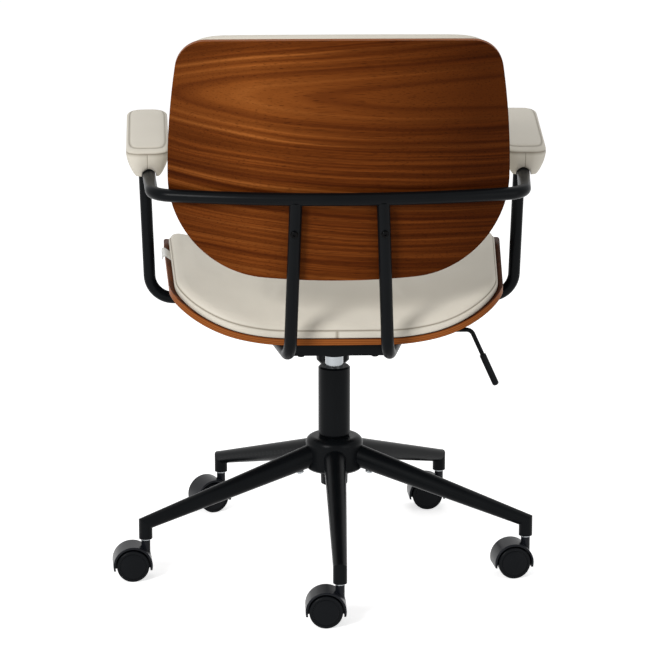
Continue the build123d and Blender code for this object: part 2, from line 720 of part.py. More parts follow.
def run_x(y):
    """Tube under the seat, right-hand side: its middle line's X at a given Y."""
    return UPRIGHT_X + (y - foot_y()) * tan(radians(RUN_SPLAY))


def strap_places():
    """Middle of each of the plate's two straps, as Y and the tube's X there."""
    ys = (PLATE_REAR_Y + STRAP_WIDTH / 2, PLATE_FRONT_Y - STRAP_WIDTH)
    return [(y, run_x(y)) for y in ys]


def tilt_plate():
    """Seat plate: a wide panel, two straps out to the tubes and two lugs down to the pivot."""
    panel = Pos(0, (PLATE_REAR_Y + PLATE_FRONT_Y) / 2) * RectangleRounded(
        2 * PLATE_HALF, PLATE_FRONT_Y - PLATE_REAR_Y, PLATE_EDGE
    )
    for y, x in strap_places():
        panel += Pos(0, y) * RectangleRounded(2 * (x + STRAP_OVER), STRAP_WIDTH, PLATE_EDGE)
    panel -= Pos(0, TENSION_Y) * Circle(TENSION_BOLT_DIA / 2 + BOLT_FIT)
    for y, x in strap_places():
        for side in (-1, 1):
            panel -= Pos(side * x, y) * Circle(BOLT_DIA / 2 + BOLT_FIT)
    plate = extrude(Pos(0, 0, PLATE_BOTTOM_Z) * panel, PLATE_THICK)
    lug_face = Pos(PIVOT_Y, (PLATE_BOTTOM_Z + PIVOT_Z) / 2) * Rectangle(LUG_WIDTH, PLATE_BOTTOM_Z - PIVOT_Z)
    lug_face += Pos(PIVOT_Y, PIVOT_Z) * Circle(LUG_WIDTH / 2)
    lug_face -= Pos(PIVOT_Y, PIVOT_Z) * Circle(PIVOT_DIA / 2 + SLIDE_FIT)
    lug = extrude(Plane.YZ * lug_face, PLATE_THICK)
    inner = HOUSING_HALF + WALL_GAP
    return plate + Pos(inner, 0, 0) * lug + Pos(-inner - PLATE_THICK, 0, 0) * lug


def tension_bolt():
    """Bolt that hangs from the plate and carries the spring and the knob."""
    bolt = rod(TENSION_BOLT_DIA, KNOB_BOTTOM_Z + TENSION_ROOM, PLATE_TOP_Z, 0, TENSION_Y)
    head = rod(TENSION_HEAD_DIA, PLATE_TOP_Z, PLATE_TOP_Z + TENSION_HEAD, 0, TENSION_Y)
    return bolt + head


def tension_knob():
    """Fluted hand knob with a cup for the spring."""
    knob = turned(
        (0, KNOB_BOTTOM_Z),
        (KNOB_BOTTOM_DIA / 2, KNOB_BOTTOM_Z),
        (KNOB_TOP_DIA / 2, KNOB_BOTTOM_Z + KNOB_FLOOR),
        (KNOB_TOP_DIA / 2, KNOB_TOP_Z),
        (KNOB_CUP_DIA / 2, KNOB_TOP_Z),
        (KNOB_CUP_DIA / 2, KNOB_BOTTOM_Z + KNOB_FLOOR),
        (0, KNOB_BOTTOM_Z + KNOB_FLOOR),
    )
    reach = (KNOB_TOP_DIA + KNOB_FLUTE_DIA) / 2 - KNOB_FLUTE_DEPTH
    for k in range(KNOB_FLUTES):
        turn = 2 * pi * k / KNOB_FLUTES
        knob -= rod(KNOB_FLUTE_DIA, 0, PLATE_TOP_Z, reach * cos(turn), reach * sin(turn))
    knob -= rod(TENSION_BOLT_DIA + 2 * SLIDE_FIT, 0, PLATE_TOP_Z)
    return Pos(0, TENSION_Y, 0) * knob


def two_arcs(start, start_way, end, end_way):
    """Two arcs that leave one point and reach another in the given directions."""
    span = end - start
    ways = start_way + end_way
    spread = 2 * (1 - start_way.dot(end_way))
    pull = span.dot(ways)
    reach = (sqrt(pull**2 + spread * span.dot(span)) - pull) / spread
    middle = (start + start_way * reach + end - end_way * reach) * 0.5
    middle_way = (end - end_way * reach) - (start + start_way * reach)
    return [TangentArc(start, middle, tangent=start_way), TangentArc(middle, end, tangent=middle_way)]


def spring_line():
    """Quarter turns that climb from the knob's cup to the housing's floor."""
    bottom = KNOB_BOTTOM_Z + KNOB_FLOOR + SPRING_WIRE / 2 + REST_GAP
    top = HOUSING_FLOOR_Z - SPRING_WIRE / 2 - REST_GAP
    radius = SPRING_DIA / 2
    quarters = 4 * SPRING_TURNS
    climb = (top - bottom) / (2 * pi * SPRING_TURNS)
    points = []
    ways = []
    for k in range(quarters + 1):
        turn = pi * k / 2
        points.append(Vector(radius * cos(turn), radius * sin(turn), bottom + climb * turn))
        ways.append(Vector(-radius * sin(turn), radius * cos(turn), climb).normalized())
    edges = []
    for k in range(quarters):
        edges += two_arcs(points[k], ways[k], points[k + 1], ways[k + 1])
    return Wire([edge.edge() for edge in edges])


def spring_gap(line):
    """Least room between one turn of the coil and the next, measured on points."""
    steps = 24 * SPRING_TURNS
    turn = steps // SPRING_TURNS
    points = [line @ (k / steps) for k in range(steps + 1)]
    apart = [
        (points[j] - points[k]).length
        for k in range(steps + 1)
        for j in range(k + turn // 2, steps + 1)
    ]
    return min(apart) - SPRING_WIRE


def tension_spring():
    """Coil between the knob and the housing."""
    line = spring_line()
    print(f"tension_spring: least gap {spring_gap(line):.2f} mm")
    return Pos(0, TENSION_Y, 0) * tube(line, SPRING_WIRE)


def lever_rod():
    """Lever from over the release pin out to the right, then down to the grip."""
    path = bent_line(
        [
            (LEVER_INNER_X, 0, LEVER_Z),
            (LEVER_BEND_X, 0, LEVER_Z),
            (LEVER_BEND_X + LEVER_OUT, 0, LEVER_Z - LEVER_DROP),
        ],
        [LEVER_BEND_RADIUS],
    )
    return tube(path, LEVER_DIA)


def lever_grip():
    """Plastic sleeve over the lever's end."""
    length = hypot(LEVER_OUT, LEVER_DROP)
    out = Vector(LEVER_OUT / length, 0, -LEVER_DROP / length)
    tip = Vector(LEVER_BEND_X + LEVER_OUT, 0, LEVER_Z - LEVER_DROP)
    sleeve = Cylinder(GRIP_DIA / 2, GRIP_LENGTH, align=(Align.CENTER, Align.CENTER, Align.MAX))
    sleeve = fillet(sleeve.edges().sort_by(Axis.Z)[-1], GRIP_ROUND)
    bore = Pos(0, 0, -GRIP_WALL_END) * Cylinder(
        LEVER_DIA / 2 + SLIDE_FIT, 2 * GRIP_LENGTH, align=(Align.CENTER, Align.CENTER, Align.MAX)
    )
    return Plane(origin=tip + out * (GRIP_WALL_END + REST_GAP), x_dir=(0, 1, 0), z_dir=out) * (sleeve - bore)


# Frame


def rail_y(x):
    """Middle line of the back rail: bowed to the rear like the shell."""
    radius = BACK_BEND + TUBE_R + REST_GAP
    middle = BACK_FACE_Y - (TUBE_R + REST_GAP) / cos(radians(BACK_LEAN))
    return middle + radius - sqrt(radius**2 - x**2)


def rail_tube(dia):
    """Bowed bar on the back rail's line."""
    path = ThreePointArc(
        (-RAIL_HALF, rail_y(RAIL_HALF), RAIL_Z),
        (0, rail_y(0), RAIL_Z),
        (RAIL_HALF, rail_y(RAIL_HALF), RAIL_Z),
    )
    return tube(path, dia)


def back_rail():
    """Tube across the rear face of the back."""
    return rail_tube(TUBE_DIA)


def arm_corners():
    """Corners of the right arm tube: rail end, rear bend, front bend, foot, joint."""
    slope = RAIL_HALF / sqrt((BACK_BEND + TUBE_R + REST_GAP) ** 2 - RAIL_HALF**2)
    rear_y = rail_y(RAIL_HALF) + (ARM_REAR_X - RAIL_HALF) * slope
    return [
        (RAIL_HALF, rail_y(RAIL_HALF), RAIL_Z),
        (ARM_REAR_X, rear_y, RAIL_Z),
        (ARM_FRONT_X, ARM_FRONT_Y, ARM_FRONT_Z),
        (LEG_FOOT_X, LEG_FOOT_Y, UNDER_Z),
        (RUN_JOINT_X, LEG_FOOT_Y, UNDER_Z),
    ]


def arm_frame():
    """Frame on the arm's straight run: Z along it to the front, X to the outside."""
    rear = Vector(*arm_corners()[1])
    front = Vector(*arm_corners()[2])
    along = (front - rear).normalized()
    side = Vector(along.Y, -along.X, 0).normalized()
    return rear, along, side


def arm_point(y):
    """Point of the arm's middle line at a given Y."""
    rear, along, _ = arm_frame()
    return rear + along * ((y - rear.Y) / along.Y)


def pad_screw_places():
    """Frames under the right arm tube, with Z up into the pad."""
    _, along, side = arm_frame()
    up = side.cross(along)
    places = []
    for y in (PAD_REAR_Y + PAD_SCREW_IN, ARM_FRONT_Y - ARM_BEND - PAD_SCREW_DIA):
        seat = arm_point(y) - up * (TUBE_R + SLIDE_FIT)
        places.append(Plane(origin=seat, x_dir=along, z_dir=up))
    return places


def arm_tube():
    """Right arm tube: back bend, arm, front bend, leg and foot bend."""
    pipe = tube(bent_line(arm_corners(), [BEND, ARM_BEND, BEND]), TUBE_DIA)
    for place in pad_screw_places():
        pipe -= place * Cylinder(PAD_SCREW_DIA / 2 + BOLT_FIT, 4 * TUBE_DIA)
    return pipe


def upright_corners():
    """Corners of the right upright: rail, foot, front of the seat, joint."""
    top_y = rail_y(UPRIGHT_TOP_X) + tan(radians(BACK_LEAN)) * TUBE_R / 2
    return [
        (UPRIGHT_TOP_X, top_y, RAIL_Z - TUBE_R / 2),
        (UPRIGHT_X, foot_y(), UNDER_Z),
        (run_x(LEG_FOOT_Y), LEG_FOOT_Y, UNDER_Z),
        (RUN_JOINT_X, LEG_FOOT_Y, UNDER_Z),
    ]


def back_upright():
    """Right upright: down from the rail, forward under the seat, then out to the leg."""
    pipe = tube(bent_line(upright_corners(), [FOOT_BEND, BEND]), TUBE_DIA)
    pipe -= rail_tube(TUBE_DIA + 2 * SLIDE_FIT)
    pipe -= back_bolt_place() * Cylinder(BOLT_DIA / 2 + BOLT_FIT, 4 * TUBE_DIA)
    for y, x in strap_places():
        pipe -= rod(BOLT_DIA + 2 * BOLT_FIT, PLATE_BOTTOM_Z, UNDER_Z + TUBE_R / 2, x, y)
    return pipe


def seat_crossbars():
    """Square bars between the tubes that carry the seat shell."""
    bars = []
    for y in (REAR_BAR_Y, FRONT_BAR_Y):
        half = run_x(y)
        bar = block(
            -half,
            half,
            y - BAR_DEPTH / 2,
            y + BAR_DEPTH / 2,
            UNDER_Z - TUBE_R,
            UNDER_Z + TUBE_R,
        )
        for side in (-1, 1):
            bar -= rod(BOLT_DIA + 2 * BOLT_FIT, 0, 2 * UNDER_Z, side * SEAT_BOLT_X, y)
        upright = tube(bent_line(upright_corners(), [FOOT_BEND, BEND]), TUBE_DIA + 2 * BOLT_FIT)
        bar = bar - upright - mirrored(upright)
        bars.append(max(bar.solids(), key=lambda s: s.volume))
    return Compound(bars)


def seat_bolt_places():
    """Frames of the bolts under the seat, with Z up: four in the bars, four in the plate's straps."""
    up = (0, 0, 1)
    bar_z = UNDER_Z - TUBE_R
    bars = [
        Plane(origin=(side * SEAT_BOLT_X, y, bar_z), z_dir=up)
        for y in (REAR_BAR_Y, FRONT_BAR_Y)
        for side in (-1, 1)
    ]
    straps = [
        Plane(origin=(side * x, y, PLATE_BOTTOM_Z), z_dir=up)
        for y, x in strap_places()
        for side in (-1, 1)
    ]
    return bars, straps


def seat_bolts():
    """Bolts from below: through the bars into the shell, and through the plate into the tubes."""
    bars, straps = seat_bolt_places()
    long = SHELL_Z + PLY - NUT_RECESS - (UNDER_Z - TUBE_R)
    short = PLATE_THICK + TUBE_R
    bolts = [place * cap_bolt(BOLT_DIA, long, BOLT_HEAD_DIA, BOLT_HEAD) for place in bars]
    bolts += [place * cap_bolt(BOLT_DIA, short, BOLT_HEAD_DIA, BOLT_HEAD) for place in straps]
    return Compound(bolts)


# Seat


def seat_outline(inset):
    """Seat's outline from above."""
    return four_sided(
        SEAT_REAR_Y + inset,
        SEAT_FRONT_Y - inset,
        SEAT_HALF_REAR - inset,
        SEAT_HALF_FRONT - inset,
        SEAT_REAR_CROWN,
        SEAT_FRONT_CROWN,
        SEAT_REAR_CORNER - inset,
        SEAT_FRONT_CORNER - inset,
    )


def seat_curve(offset):
    """Seat's section from the front, a distance above the shell's underside."""
    radius = SEAT_BEND - offset
    turn = asin((SEAT_HALF_FRONT - SEAT_FLAT) / SEAT_BEND) * SEAT_REACH
    z = SHELL_Z + offset
    centre = z + radius

    def on_bend(side, angle):
        return (side * (SEAT_FLAT + radius * sin(angle)), 0, centre - radius * cos(angle))

    return [
        ThreePointArc(on_bend(-1, turn), on_bend(-1, turn / 2), (-SEAT_FLAT, 0, z)),
        Line((-SEAT_FLAT, 0, z), (SEAT_FLAT, 0, z)),
        ThreePointArc((SEAT_FLAT, 0, z), on_bend(1, turn / 2), on_bend(1, turn)),
    ]


def above_curve(offset, top):
    """Everything above the seat's curve at an offset, up to a height."""
    curve = seat_curve(offset)
    left = curve[0] @ 0
    right = curve[2] @ 1
    closing = Polyline(right, (right.X, 0, top), (left.X, 0, top), left)
    return extrude(make_face(curve + [closing]), 2 * SEAT_FRONT_Y, both=True)


def seat_shell():
    """Bent ply shell: flat in the middle, turned up at the sides."""
    high = 2 * SHELL_Z
    band = above_curve(0, high) - above_curve(PLY, high)
    column = extrude(seat_outline(0), high)
    shell = band & column
    bars, _ = seat_bolt_places()
    for place in bars:
        shell -= Pos(place.origin.X, place.origin.Y, SHELL_Z + PLY) * tee_nut_hole()
    return shell


def saddle(low, high, crown, fall, half, rise):
    """Room above a surface crowned along X and dished along Y, which touches Z of crown at its middle."""
    middle = (low + high) / 2
    dish = (half**2 + rise**2) / (2 * rise)
    axis = crown + dish
    ridge = ThreePointArc((low, crown - fall), (middle, crown), (high, crown - fall))
    lid = Polyline((high, crown - fall), (high, axis), (low, axis), (low, crown - fall))
    return revolve(make_face([ridge, lid]), axis=Axis((0, axis, 0), (1, 0, 0)))


def largest(piece):
    """The largest face of a piece."""
    return max(piece.faces(), key=lambda face: face.area)


def shell_top(x):
    """Height of the seat shell's upper face at a distance from its middle."""
    radius = SEAT_BEND - PLY
    past = max(abs(x) - SEAT_FLAT, 0)
    return SHELL_Z + PLY + radius - sqrt(radius**2 - past**2)


def seat_cushion():
    """Leather cushion: crowned from front to rear, dished from side to side, drawn in at its edge."""
    high = 2 * SHELL_Z
    body = above_curve(PLY + REST_GAP, high) & extrude(seat_outline(CUSHION_INSET), high)
    crown = SHELL_Z + PLY + CUSHION_CROWN
    rim = (seat_curve(PLY)[2] @ 1).Z + CUSHION_EDGE
    fall = CUSHION_CROWN - CUSHION_EDGE
    room = saddle(SEAT_REAR_Y, SEAT_FRONT_Y, crown, fall, SEAT_HALF_FRONT, rim - crown)
    body -= Plane(origin=(0, 0, 0), x_dir=(0, 1, 0), z_dir=(1, 0, 0)) * room
    top = largest(body)
    wall = min(corner.Z - shell_top(corner.X) for corner in top.vertices())
    return fillet(top.edges(), min(CUSHION_ROUND, wall / 2))


def tee_nuts():
    """Nuts let into the seat and back shells."""
    bars, _ = seat_bolt_places()
    nuts = [
        Pos(place.origin.X, place.origin.Y, SHELL_Z + PLY - NUT_RECESS + NUT_FLANGE) * tee_nut()
        for place in bars
    ]
    nut = back_nut_place() * Pos(0, 0, NUT_FLANGE - NUT_RECESS) * tee_nut()
    return Compound(nuts + [nut, mirrored(nut)])


# Back


def back_outline(over):
    """Back's outline on its leaning plane, grown by an amount."""
    slant = cos(radians(BACK_LEAN))
    return four_sided(
        (BACK_BOTTOM_Z - RAIL_Z) / slant - over,
        (BACK_TOP_Z - RAIL_Z) / slant + over,
        BACK_HALF_LOW + over,
        BACK_HALF_TOP + over,
        BACK_LOW_CROWN,
        BACK_TOP_CROWN,
        BACK_LOW_CORNER + over,
        BACK_TOP_CORNER + over,
        BACK_SIDE_BOW,
    )


def bend_column(radius):
    """Cylinder about the back's bend axis, along the leaning plane."""
    length = 3 * (BACK_TOP_Z - BACK_BOTTOM_Z)
    return BACK_PLANE * Pos(0, 0, -BACK_BEND) * Rot(90, 0, 0) * Cylinder(radius, length)


def back_slab(over):
    """The back's outline carried through the thickness of the back."""
    depth = 3 * (BACK_PAD + PLY)
    return extrude(BACK_PLANE * back_outline(over), depth, both=True)


def back_bolt_angle():
    """Turn of the back bolts about the bend's axis."""
    share = (RAIL_Z - BACK_BOLT_Z) / (RAIL_Z - UNDER_Z)
    x = UPRIGHT_TOP_X + (UPRIGHT_X - UPRIGHT_TOP_X) * share
    return asin(x / (BACK_BEND + TUBE_R + REST_GAP))


def back_radial(radius):
    """Frame on the right back bolt's line at a distance from the bend axis, with Z to the front."""
    angle = back_bolt_angle()
    across = radius * sin(angle)
    rearward = radius * cos(angle) - BACK_BEND
    height = (BACK_BOLT_Z - RAIL_Z) / cos(radians(BACK_LEAN))
    origin = BACK_PLANE.from_local_coords(Vector(across, height, rearward))
    ahead = BACK_PLANE.from_local_coords(Vector(across - sin(angle), height, rearward - cos(angle)))
    return Plane(origin=origin, x_dir=BACK_PLANE.y_dir, z_dir=ahead - origin)


def back_bolt_place():
    """Seat of the right back bolt's head on the upright."""
    return back_radial(BACK_BEND + REST_GAP + TUBE_DIA + REST_GAP)


def back_nut_place():
    """Mouth of the right nut's hole in the shell's front face."""
    return back_radial(BACK_BEND - PLY)


def back_bolts():
    """The two bolts through the uprights into the back shell."""
    long = TUBE_DIA + 2 * REST_GAP + PLY - NUT_RECESS
    bolt = back_bolt_place() * cap_bolt(BOLT_DIA, long, BOLT_HEAD_DIA, BOLT_HEAD)
    return Compound([bolt, mirrored(bolt)])


def back_shell():
    """Bent ply shell that wraps round the sitter's back."""
    shell = (bend_column(BACK_BEND) - bend_column(BACK_BEND - PLY)) & back_slab(0)
    shell = max(shell.solids(), key=lambda s: -s.center().Y)
    hole = back_nut_place() * tee_nut_hole()
    return shell - hole - mirrored(hole)


def back_cushion():
    """Leather pad on the front of the back shell, thickest in the middle."""
    body = bend_column(BACK_BEND - PLY - REST_GAP) & back_slab(BACK_PAD_OVER)
    slant = cos(radians(BACK_LEAN))
    low = (BACK_BOTTOM_Z - RAIL_Z) / slant - 2 * BACK_PAD_OVER
    high = (BACK_TOP_Z - RAIL_Z) / slant + 2 * BACK_PAD_OVER
    fall = BACK_PAD - BACK_PAD_EDGE
    half = BACK_HALF_LOW + BACK_SIDE_BOW
    wrap = half**2 / (2 * (BACK_BEND - PLY))
    room = saddle(low, high, PLY + BACK_PAD, fall, half, wrap - fall)
    front = Plane(origin=BACK_PLANE.origin, x_dir=BACK_PLANE.y_dir, z_dir=-BACK_PLANE.x_dir)
    body -= front * room
    return fillet(largest(body).edges(), BACK_PAD_ROUND)


# Arm pads


def pad_frame():
    """Right arm pad's own frame: its rear end, the way along it and the way to the outside."""
    rear = Vector(PAD_REAR_X, PAD_REAR_Y, arm_point(PAD_REAR_Y).Z)
    front = Vector(PAD_FRONT_X, PAD_FRONT_Y, arm_point(PAD_FRONT_Y).Z)
    along = (front - rear).normalized()
    side = Vector(along.Y, -along.X, 0).normalized()
    return rear, along, side, (front - rear).length


def pad_section():
    """Arm pad's section: narrow foot, full flanks, rounded shoulders and a crowned top."""
    half = PAD_WIDTH / 2
    foot = PAD_FOOT / 2
    belly = foot + (half - foot) * PAD_BELLY
    edge = half - PAD_TOP_EDGE
    round_x = half - PAD_TOP_EDGE * PAD_EDGE_FULL
    low = -PAD_SINK
    waist = low + PAD_SHOULDER / 2
    shoulder = low + PAD_SHOULDER
    rim = low + PAD_HEIGHT - PAD_CROWN
    edges = [
        Line((-foot, low), (foot, low)),
        ThreePointArc((edge, rim), (0, rim + PAD_CROWN), (-edge, rim)),
    ]
    for side in (-1, 1):
        edges += [
            ThreePointArc((side * foot, low), (side * belly, waist), (side * half, shoulder)),
            ThreePointArc((side * half, shoulder), (side * round_x, rim - PAD_EDGE_DROP), (side * edge, rim)),
        ]
    return make_face(edges)


def arm_pad():
    """Right arm pad: wide at the top, drawn in below, seated over the tube."""
    rear, along, side, length = pad_frame()
    bar = extrude(Plane(origin=rear, x_dir=side, z_dir=-along) * pad_section(), -length)
    plan = Plane(origin=rear + along * (length / 2), x_dir=along, z_dir=side.cross(along))
    around = RectangleRounded(length, PAD_WIDTH + 2 * PAD_END_SPREAD, PAD_END_ROUND)
    ends = extrude(plan * around, 2 * PAD_HEIGHT, both=True)
    pad = bar & ends
    pad -= tube(bent_line(arm_corners(), [BEND, ARM_BEND, BEND]), TUBE_DIA + 2 * REST_GAP)
    for place in pad_screw_places():
        pad -= place * Cylinder(PAD_SCREW_DIA / 2 + BOLT_FIT, 2 * (TUBE_DIA + PAD_SCREW_BITE))
    return pad


def arm_pad_screws():
    """Screws from under the tubes into the arm pads."""
    screw = cap_bolt(PAD_SCREW_DIA, TUBE_DIA + PAD_SCREW_BITE, BOLT_HEAD_DIA, BOLT_HEAD)
    right = [place * screw for place in pad_screw_places()]
    return Compound(right + [mirrored(piece) for piece in right])


def build():
    """Every node by name."""
    nodes = {
        "base_hub": base_hub(),
        "leg_bolts": leg_bolts(),
        "column_tube": column_tube(),
        "column_bush": column_bush(),
        "column_clip": column_clip(),
        "thrust_bearing": thrust_bearing(),
        "caster_stems": Compound([caster_place(leg) * caster_stem() for leg in range(CASTER_COUNT)]),
        "piston_rod": piston_rod(),
        "gas_cylinder": gas_cylinder(),
        "release_pin": release_pin(),
        "tilt_housing": tilt_housing(),
        "tilt_pin": tilt_pin(),
        "tilt_plate": tilt_plate(),
        "tension_bolt": tension_bolt(),
        "tension_knob": tension_knob(),
        "tension_spring": tension_spring(),
        "lever_rod": lever_rod(),
        "lever_grip": lever_grip(),
        "back_rail": back_rail(),
        "arm_tube_right": arm_tube(),
        "arm_tube_left": mirrored(arm_tube()),
        "back_upright_right": back_upright(),
        "back_upright_left": mirrored(back_upright()),
        "seat_crossbars": seat_crossbars(),
        "seat_bolts": seat_bolts(),
        "tee_nuts": tee_nuts(),
        "seat_shell": seat_shell(),
        "seat_cushion": seat_cushion(),
        "back_shell": back_shell(),
        "back_cushion": back_cushion(),
        "back_bolts": back_bolts(),
        "arm_pad_right": arm_pad(),
        "arm_pad_left": mirrored(arm_pad()),
        "arm_pad_screws": arm_pad_screws(),
    }
    for leg in range(CASTER_COUNT):
        number = leg + 1
        place = caster_place(leg)
        nodes[f"base_leg_{number}"] = round_leg(base_leg(), leg)
        nodes[f"caster_{number}_hood"] = place * caster_hood()
        nodes[f"caster_{number}_axle"] = place * caster_axle()
        nodes[f"caster_{number}_wheel_left"] = place * caster_wheel(1)
        nodes[f"caster_{number}_wheel_right"] = place * caster_wheel(-1)
    return nodes


os.makedirs("parts", exist_ok=True)
for name, piece in build().items():
    export_step(piece, f"parts/{name}.step")
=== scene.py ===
"""Looks of a walnut and leather office chair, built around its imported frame."""

from __future__ import annotations

import logging
from collections.abc import Callable, Iterable
from dataclasses import dataclass
from enum import Enum
from math import cos, pi, radians, sin, sqrt

import bmesh
import bpy
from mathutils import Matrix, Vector
from mathutils.geometry import convex_hull_2d


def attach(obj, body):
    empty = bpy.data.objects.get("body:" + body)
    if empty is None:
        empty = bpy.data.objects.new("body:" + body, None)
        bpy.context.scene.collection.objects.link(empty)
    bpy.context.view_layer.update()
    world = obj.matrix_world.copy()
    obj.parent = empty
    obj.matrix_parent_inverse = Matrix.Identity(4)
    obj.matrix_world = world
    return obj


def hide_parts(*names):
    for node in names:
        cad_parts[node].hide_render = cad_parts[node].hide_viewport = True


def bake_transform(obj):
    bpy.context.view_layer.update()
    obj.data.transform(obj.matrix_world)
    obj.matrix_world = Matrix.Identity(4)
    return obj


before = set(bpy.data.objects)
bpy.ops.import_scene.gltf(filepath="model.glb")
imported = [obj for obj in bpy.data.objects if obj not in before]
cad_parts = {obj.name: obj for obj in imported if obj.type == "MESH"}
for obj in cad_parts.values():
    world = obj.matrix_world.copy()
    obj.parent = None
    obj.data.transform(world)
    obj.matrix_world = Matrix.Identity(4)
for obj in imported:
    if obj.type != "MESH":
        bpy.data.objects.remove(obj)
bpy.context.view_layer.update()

LOG = logging.getLogger("office_chair")
MM = 0.001
WHITE = (1.0, 1.0, 1.0, 1.0)
WAVE_PHASE = 20.0  # radians that a wave texture turns over one unit
# Point layer that holds how much painted shade the leather gets in its seams
SEAM_SHADE_LAYER = "seam"
REAR_MIDDLE = 0.875  # how far round its outline a soft piece's rear middle lies
ON_SEAM = 0.1  # share of a grid step within which a point lies on the seam there

# Sizes of the two bent shells, in mm, that the veneer and the leather follow
PLY = 10.0
BACK_FACE_Y = -274.8
BACK_RAIL_Z = 637.0
BACK_LEAN = 7.0  # degrees
BACK_BEND = 850.0
SEAT_UNDER_Z = 403.8
SEAT_FLAT = 70.0  # half width of the level middle
SEAT_BEND = 330.0

Tree = bpy.types.NodeTree
Node = bpy.types.Node
Socket = bpy.types.NodeSocket
Inputs = dict[str | int, object]
Place = Callable[[float, float], tuple[Vector, float]]


class Body(Enum):
    """Bodies of the frame that new pieces ride on."""

    SEAT = "seat"
    LIFT = "lift"


class Side(Enum):
    """Sitter's sides, as signs along X."""

    RIGHT = 1
    LEFT = -1


def linear(hex_colour: str) -> tuple[float, float, float, float]:
    """Turn an sRGB hex colour into a linear one.

    Args:
        hex_colour: colour such as "#7a4a2e".

    Returns:
        Linear red, green, blue and alpha.
    """
    channels = [int(hex_colour[k : k + 2], 16) / 255 for k in (1, 3, 5)]
    red, green, blue = [c / 12.92 if c <= 0.04045 else ((c + 0.055) / 1.055) ** 2.4 for c in channels]
    return (red, green, blue, 1.0)


def per_mm(size: float) -> float:
    """Return the texture scale at which one cell measures the given size in millimetres."""
    return 1.0 / (size * MM)


def feed(tree: Tree, node: Node, inputs: Inputs) -> None:
    """Give a node's inputs their values and links.

    Args:
        tree: node tree that it is in.
        node: node to feed.
        inputs: value or output socket for each named or numbered input.
    """
    for key, value in inputs.items():
        if isinstance(value, Socket):
            tree.links.new(value, node.inputs[key])
        else:
            node.inputs[key].default_value = value


def add_node(tree: Tree, kind: str, inputs: Inputs | None = None, **settings: object) -> Node:
    """Add a shader node with its settings, values and links.

    Args:
        tree: node tree to add to.
        kind: type name of the node, after "ShaderNode".
        inputs: value or output socket for each named or numbered input.
        settings: attributes of the node.

    Returns:
        The new node.
    """
    node = tree.nodes.new("ShaderNode" + kind)
    for key, value in settings.items():
        setattr(node, key, value)
    feed(tree, node, inputs or {})
    return node


def set_ramp(node: Node, stops: Iterable[tuple[float, str]]) -> None:
    """Give a colour ramp its stops.

    Args:
        node: colour ramp node.
        stops: position and hex colour of each stop, in order.
    """
    elements = node.color_ramp.elements
    for k, (position, colour) in enumerate(stops):
        element = elements[k] if k < len(elements) else elements.new(position)
        element.position = position
        element.color = linear(colour)


@dataclass(frozen=True, kw_only=True)
class Finish:
    """A surface finish that makes its material the first time it is asked for."""

    name: str
    roughness: tuple[float, float]  # between which the gloss varies
    depth: float = 0.2  # of the texture, mm
    relief: float  # share of that depth that the bump shows
    shine: float = 0.5
    metallic: float = 0.0

    def material(self) -> bpy.types.Material:
        """Return the finish's material."""
        found = bpy.data.materials.get(self.name)
        if found is None:
            found = bpy.data.materials.new(self.name)
            found.use_nodes = True
            tree = found.node_tree
            feed(tree, tree.nodes["Principled BSDF"], self.paint(tree))
        return found

    def paint(self, tree: Tree) -> Inputs:
        """Lay the finish on a new material.

        Args:
            tree: the material's nodes.

        Returns:
            What its surface shader is fed.
        """
        raise NotImplementedError

    def surface(self, tree: Tree, colour: object, gloss: Socket, height: Socket) -> Inputs:
        """Put the finish's colour, gloss and bump together.

        Args:
            tree: the material's nodes.
            colour: linear colour, or a socket that gives it.
            gloss: what the roughness follows.
            height: what the bump follows.

        Returns:
            What the surface shader is fed.
        """
        low, high = self.roughness
        rough = add_node(tree, "MapRange", {"Value": gloss, "To Min": low, "To Max": high})
        texture = {"Height": height, "Strength": self.relief, "Distance": self.depth * MM}
        bump = add_node(tree, "Bump", texture)
        return {
            "Base Color": colour,
            "Roughness": rough.outputs["Result"],
            "Normal": bump.outputs["Normal"],
            "Metallic": self.metallic,
            "Specular IOR Level": self.shine,
        }


@dataclass(frozen=True, kw_only=True)
class Leather(Finish):
    """Coated split leather, rolled with a fine pebble: soft, low gloss, with painted shade down in its seams.
    """

    colour: str = "#d8d2c5"
    worn: str = "#d0c9bb"
    # painted shade in the seams' hollows
    seam_shade_colour: str = "#8d8475"
    pebble: float = 1.7  # drawn coarser than the real 0.8 mm so that it shows
    depth: float = 0.25
    relief: float = 0.16
    cloud: float = 90.0
    roughness: tuple[float, float] = (0.46, 0.6)
    shine: float = 0.25

    def paint(self, tree: Tree) -> Inputs:
        """Lay the leather: clouded cream, painted shade in the seams, pebble grain in the bump."""
        place = add_node(tree, "TexCoord").outputs["Object"]
        cloud = add_node(tree, "TexNoise", {"Vector": place, "Scale": per_mm(self.cloud), "Detail": 3.0})
        tone = add_node(
            tree,
            "Mix",
            {"Factor": cloud.outputs["Fac"], 6: linear(self.colour), 7: linear(self.worn)},
            data_type="RGBA",
        )
        # painted shade down in the seams, as much as each point's seam layer gives
        seam = add_node(tree, "Attribute", attribute_name=SEAM_SHADE_LAYER)
        shaded = add_node(
            tree,
            "Mix",
            {"Factor": seam.outputs["Fac"], 6: tone.outputs[2], 7: linear(self.seam_shade_colour)},
            data_type="RGBA",
        )
        pebble = add_node(
            tree,
            "TexVoronoi",
            {"Vector": place, "Scale": per_mm(self.pebble), "Randomness": 1.0},
            feature="SMOOTH_F1",
        )
        pores = add_node(tree, "TexNoise", {"Vector": place, "Scale": per_mm(self.pebble / 2), "Detail": 2.0})
        grain = add_node(
            tree, "Math", {0: pebble.outputs["Distance"], 1: pores.outputs["Fac"]}, operation="ADD"
        )
        return self.surface(tree, shaded.outputs[2], pores.outputs["Fac"], grain.outputs["Value"])


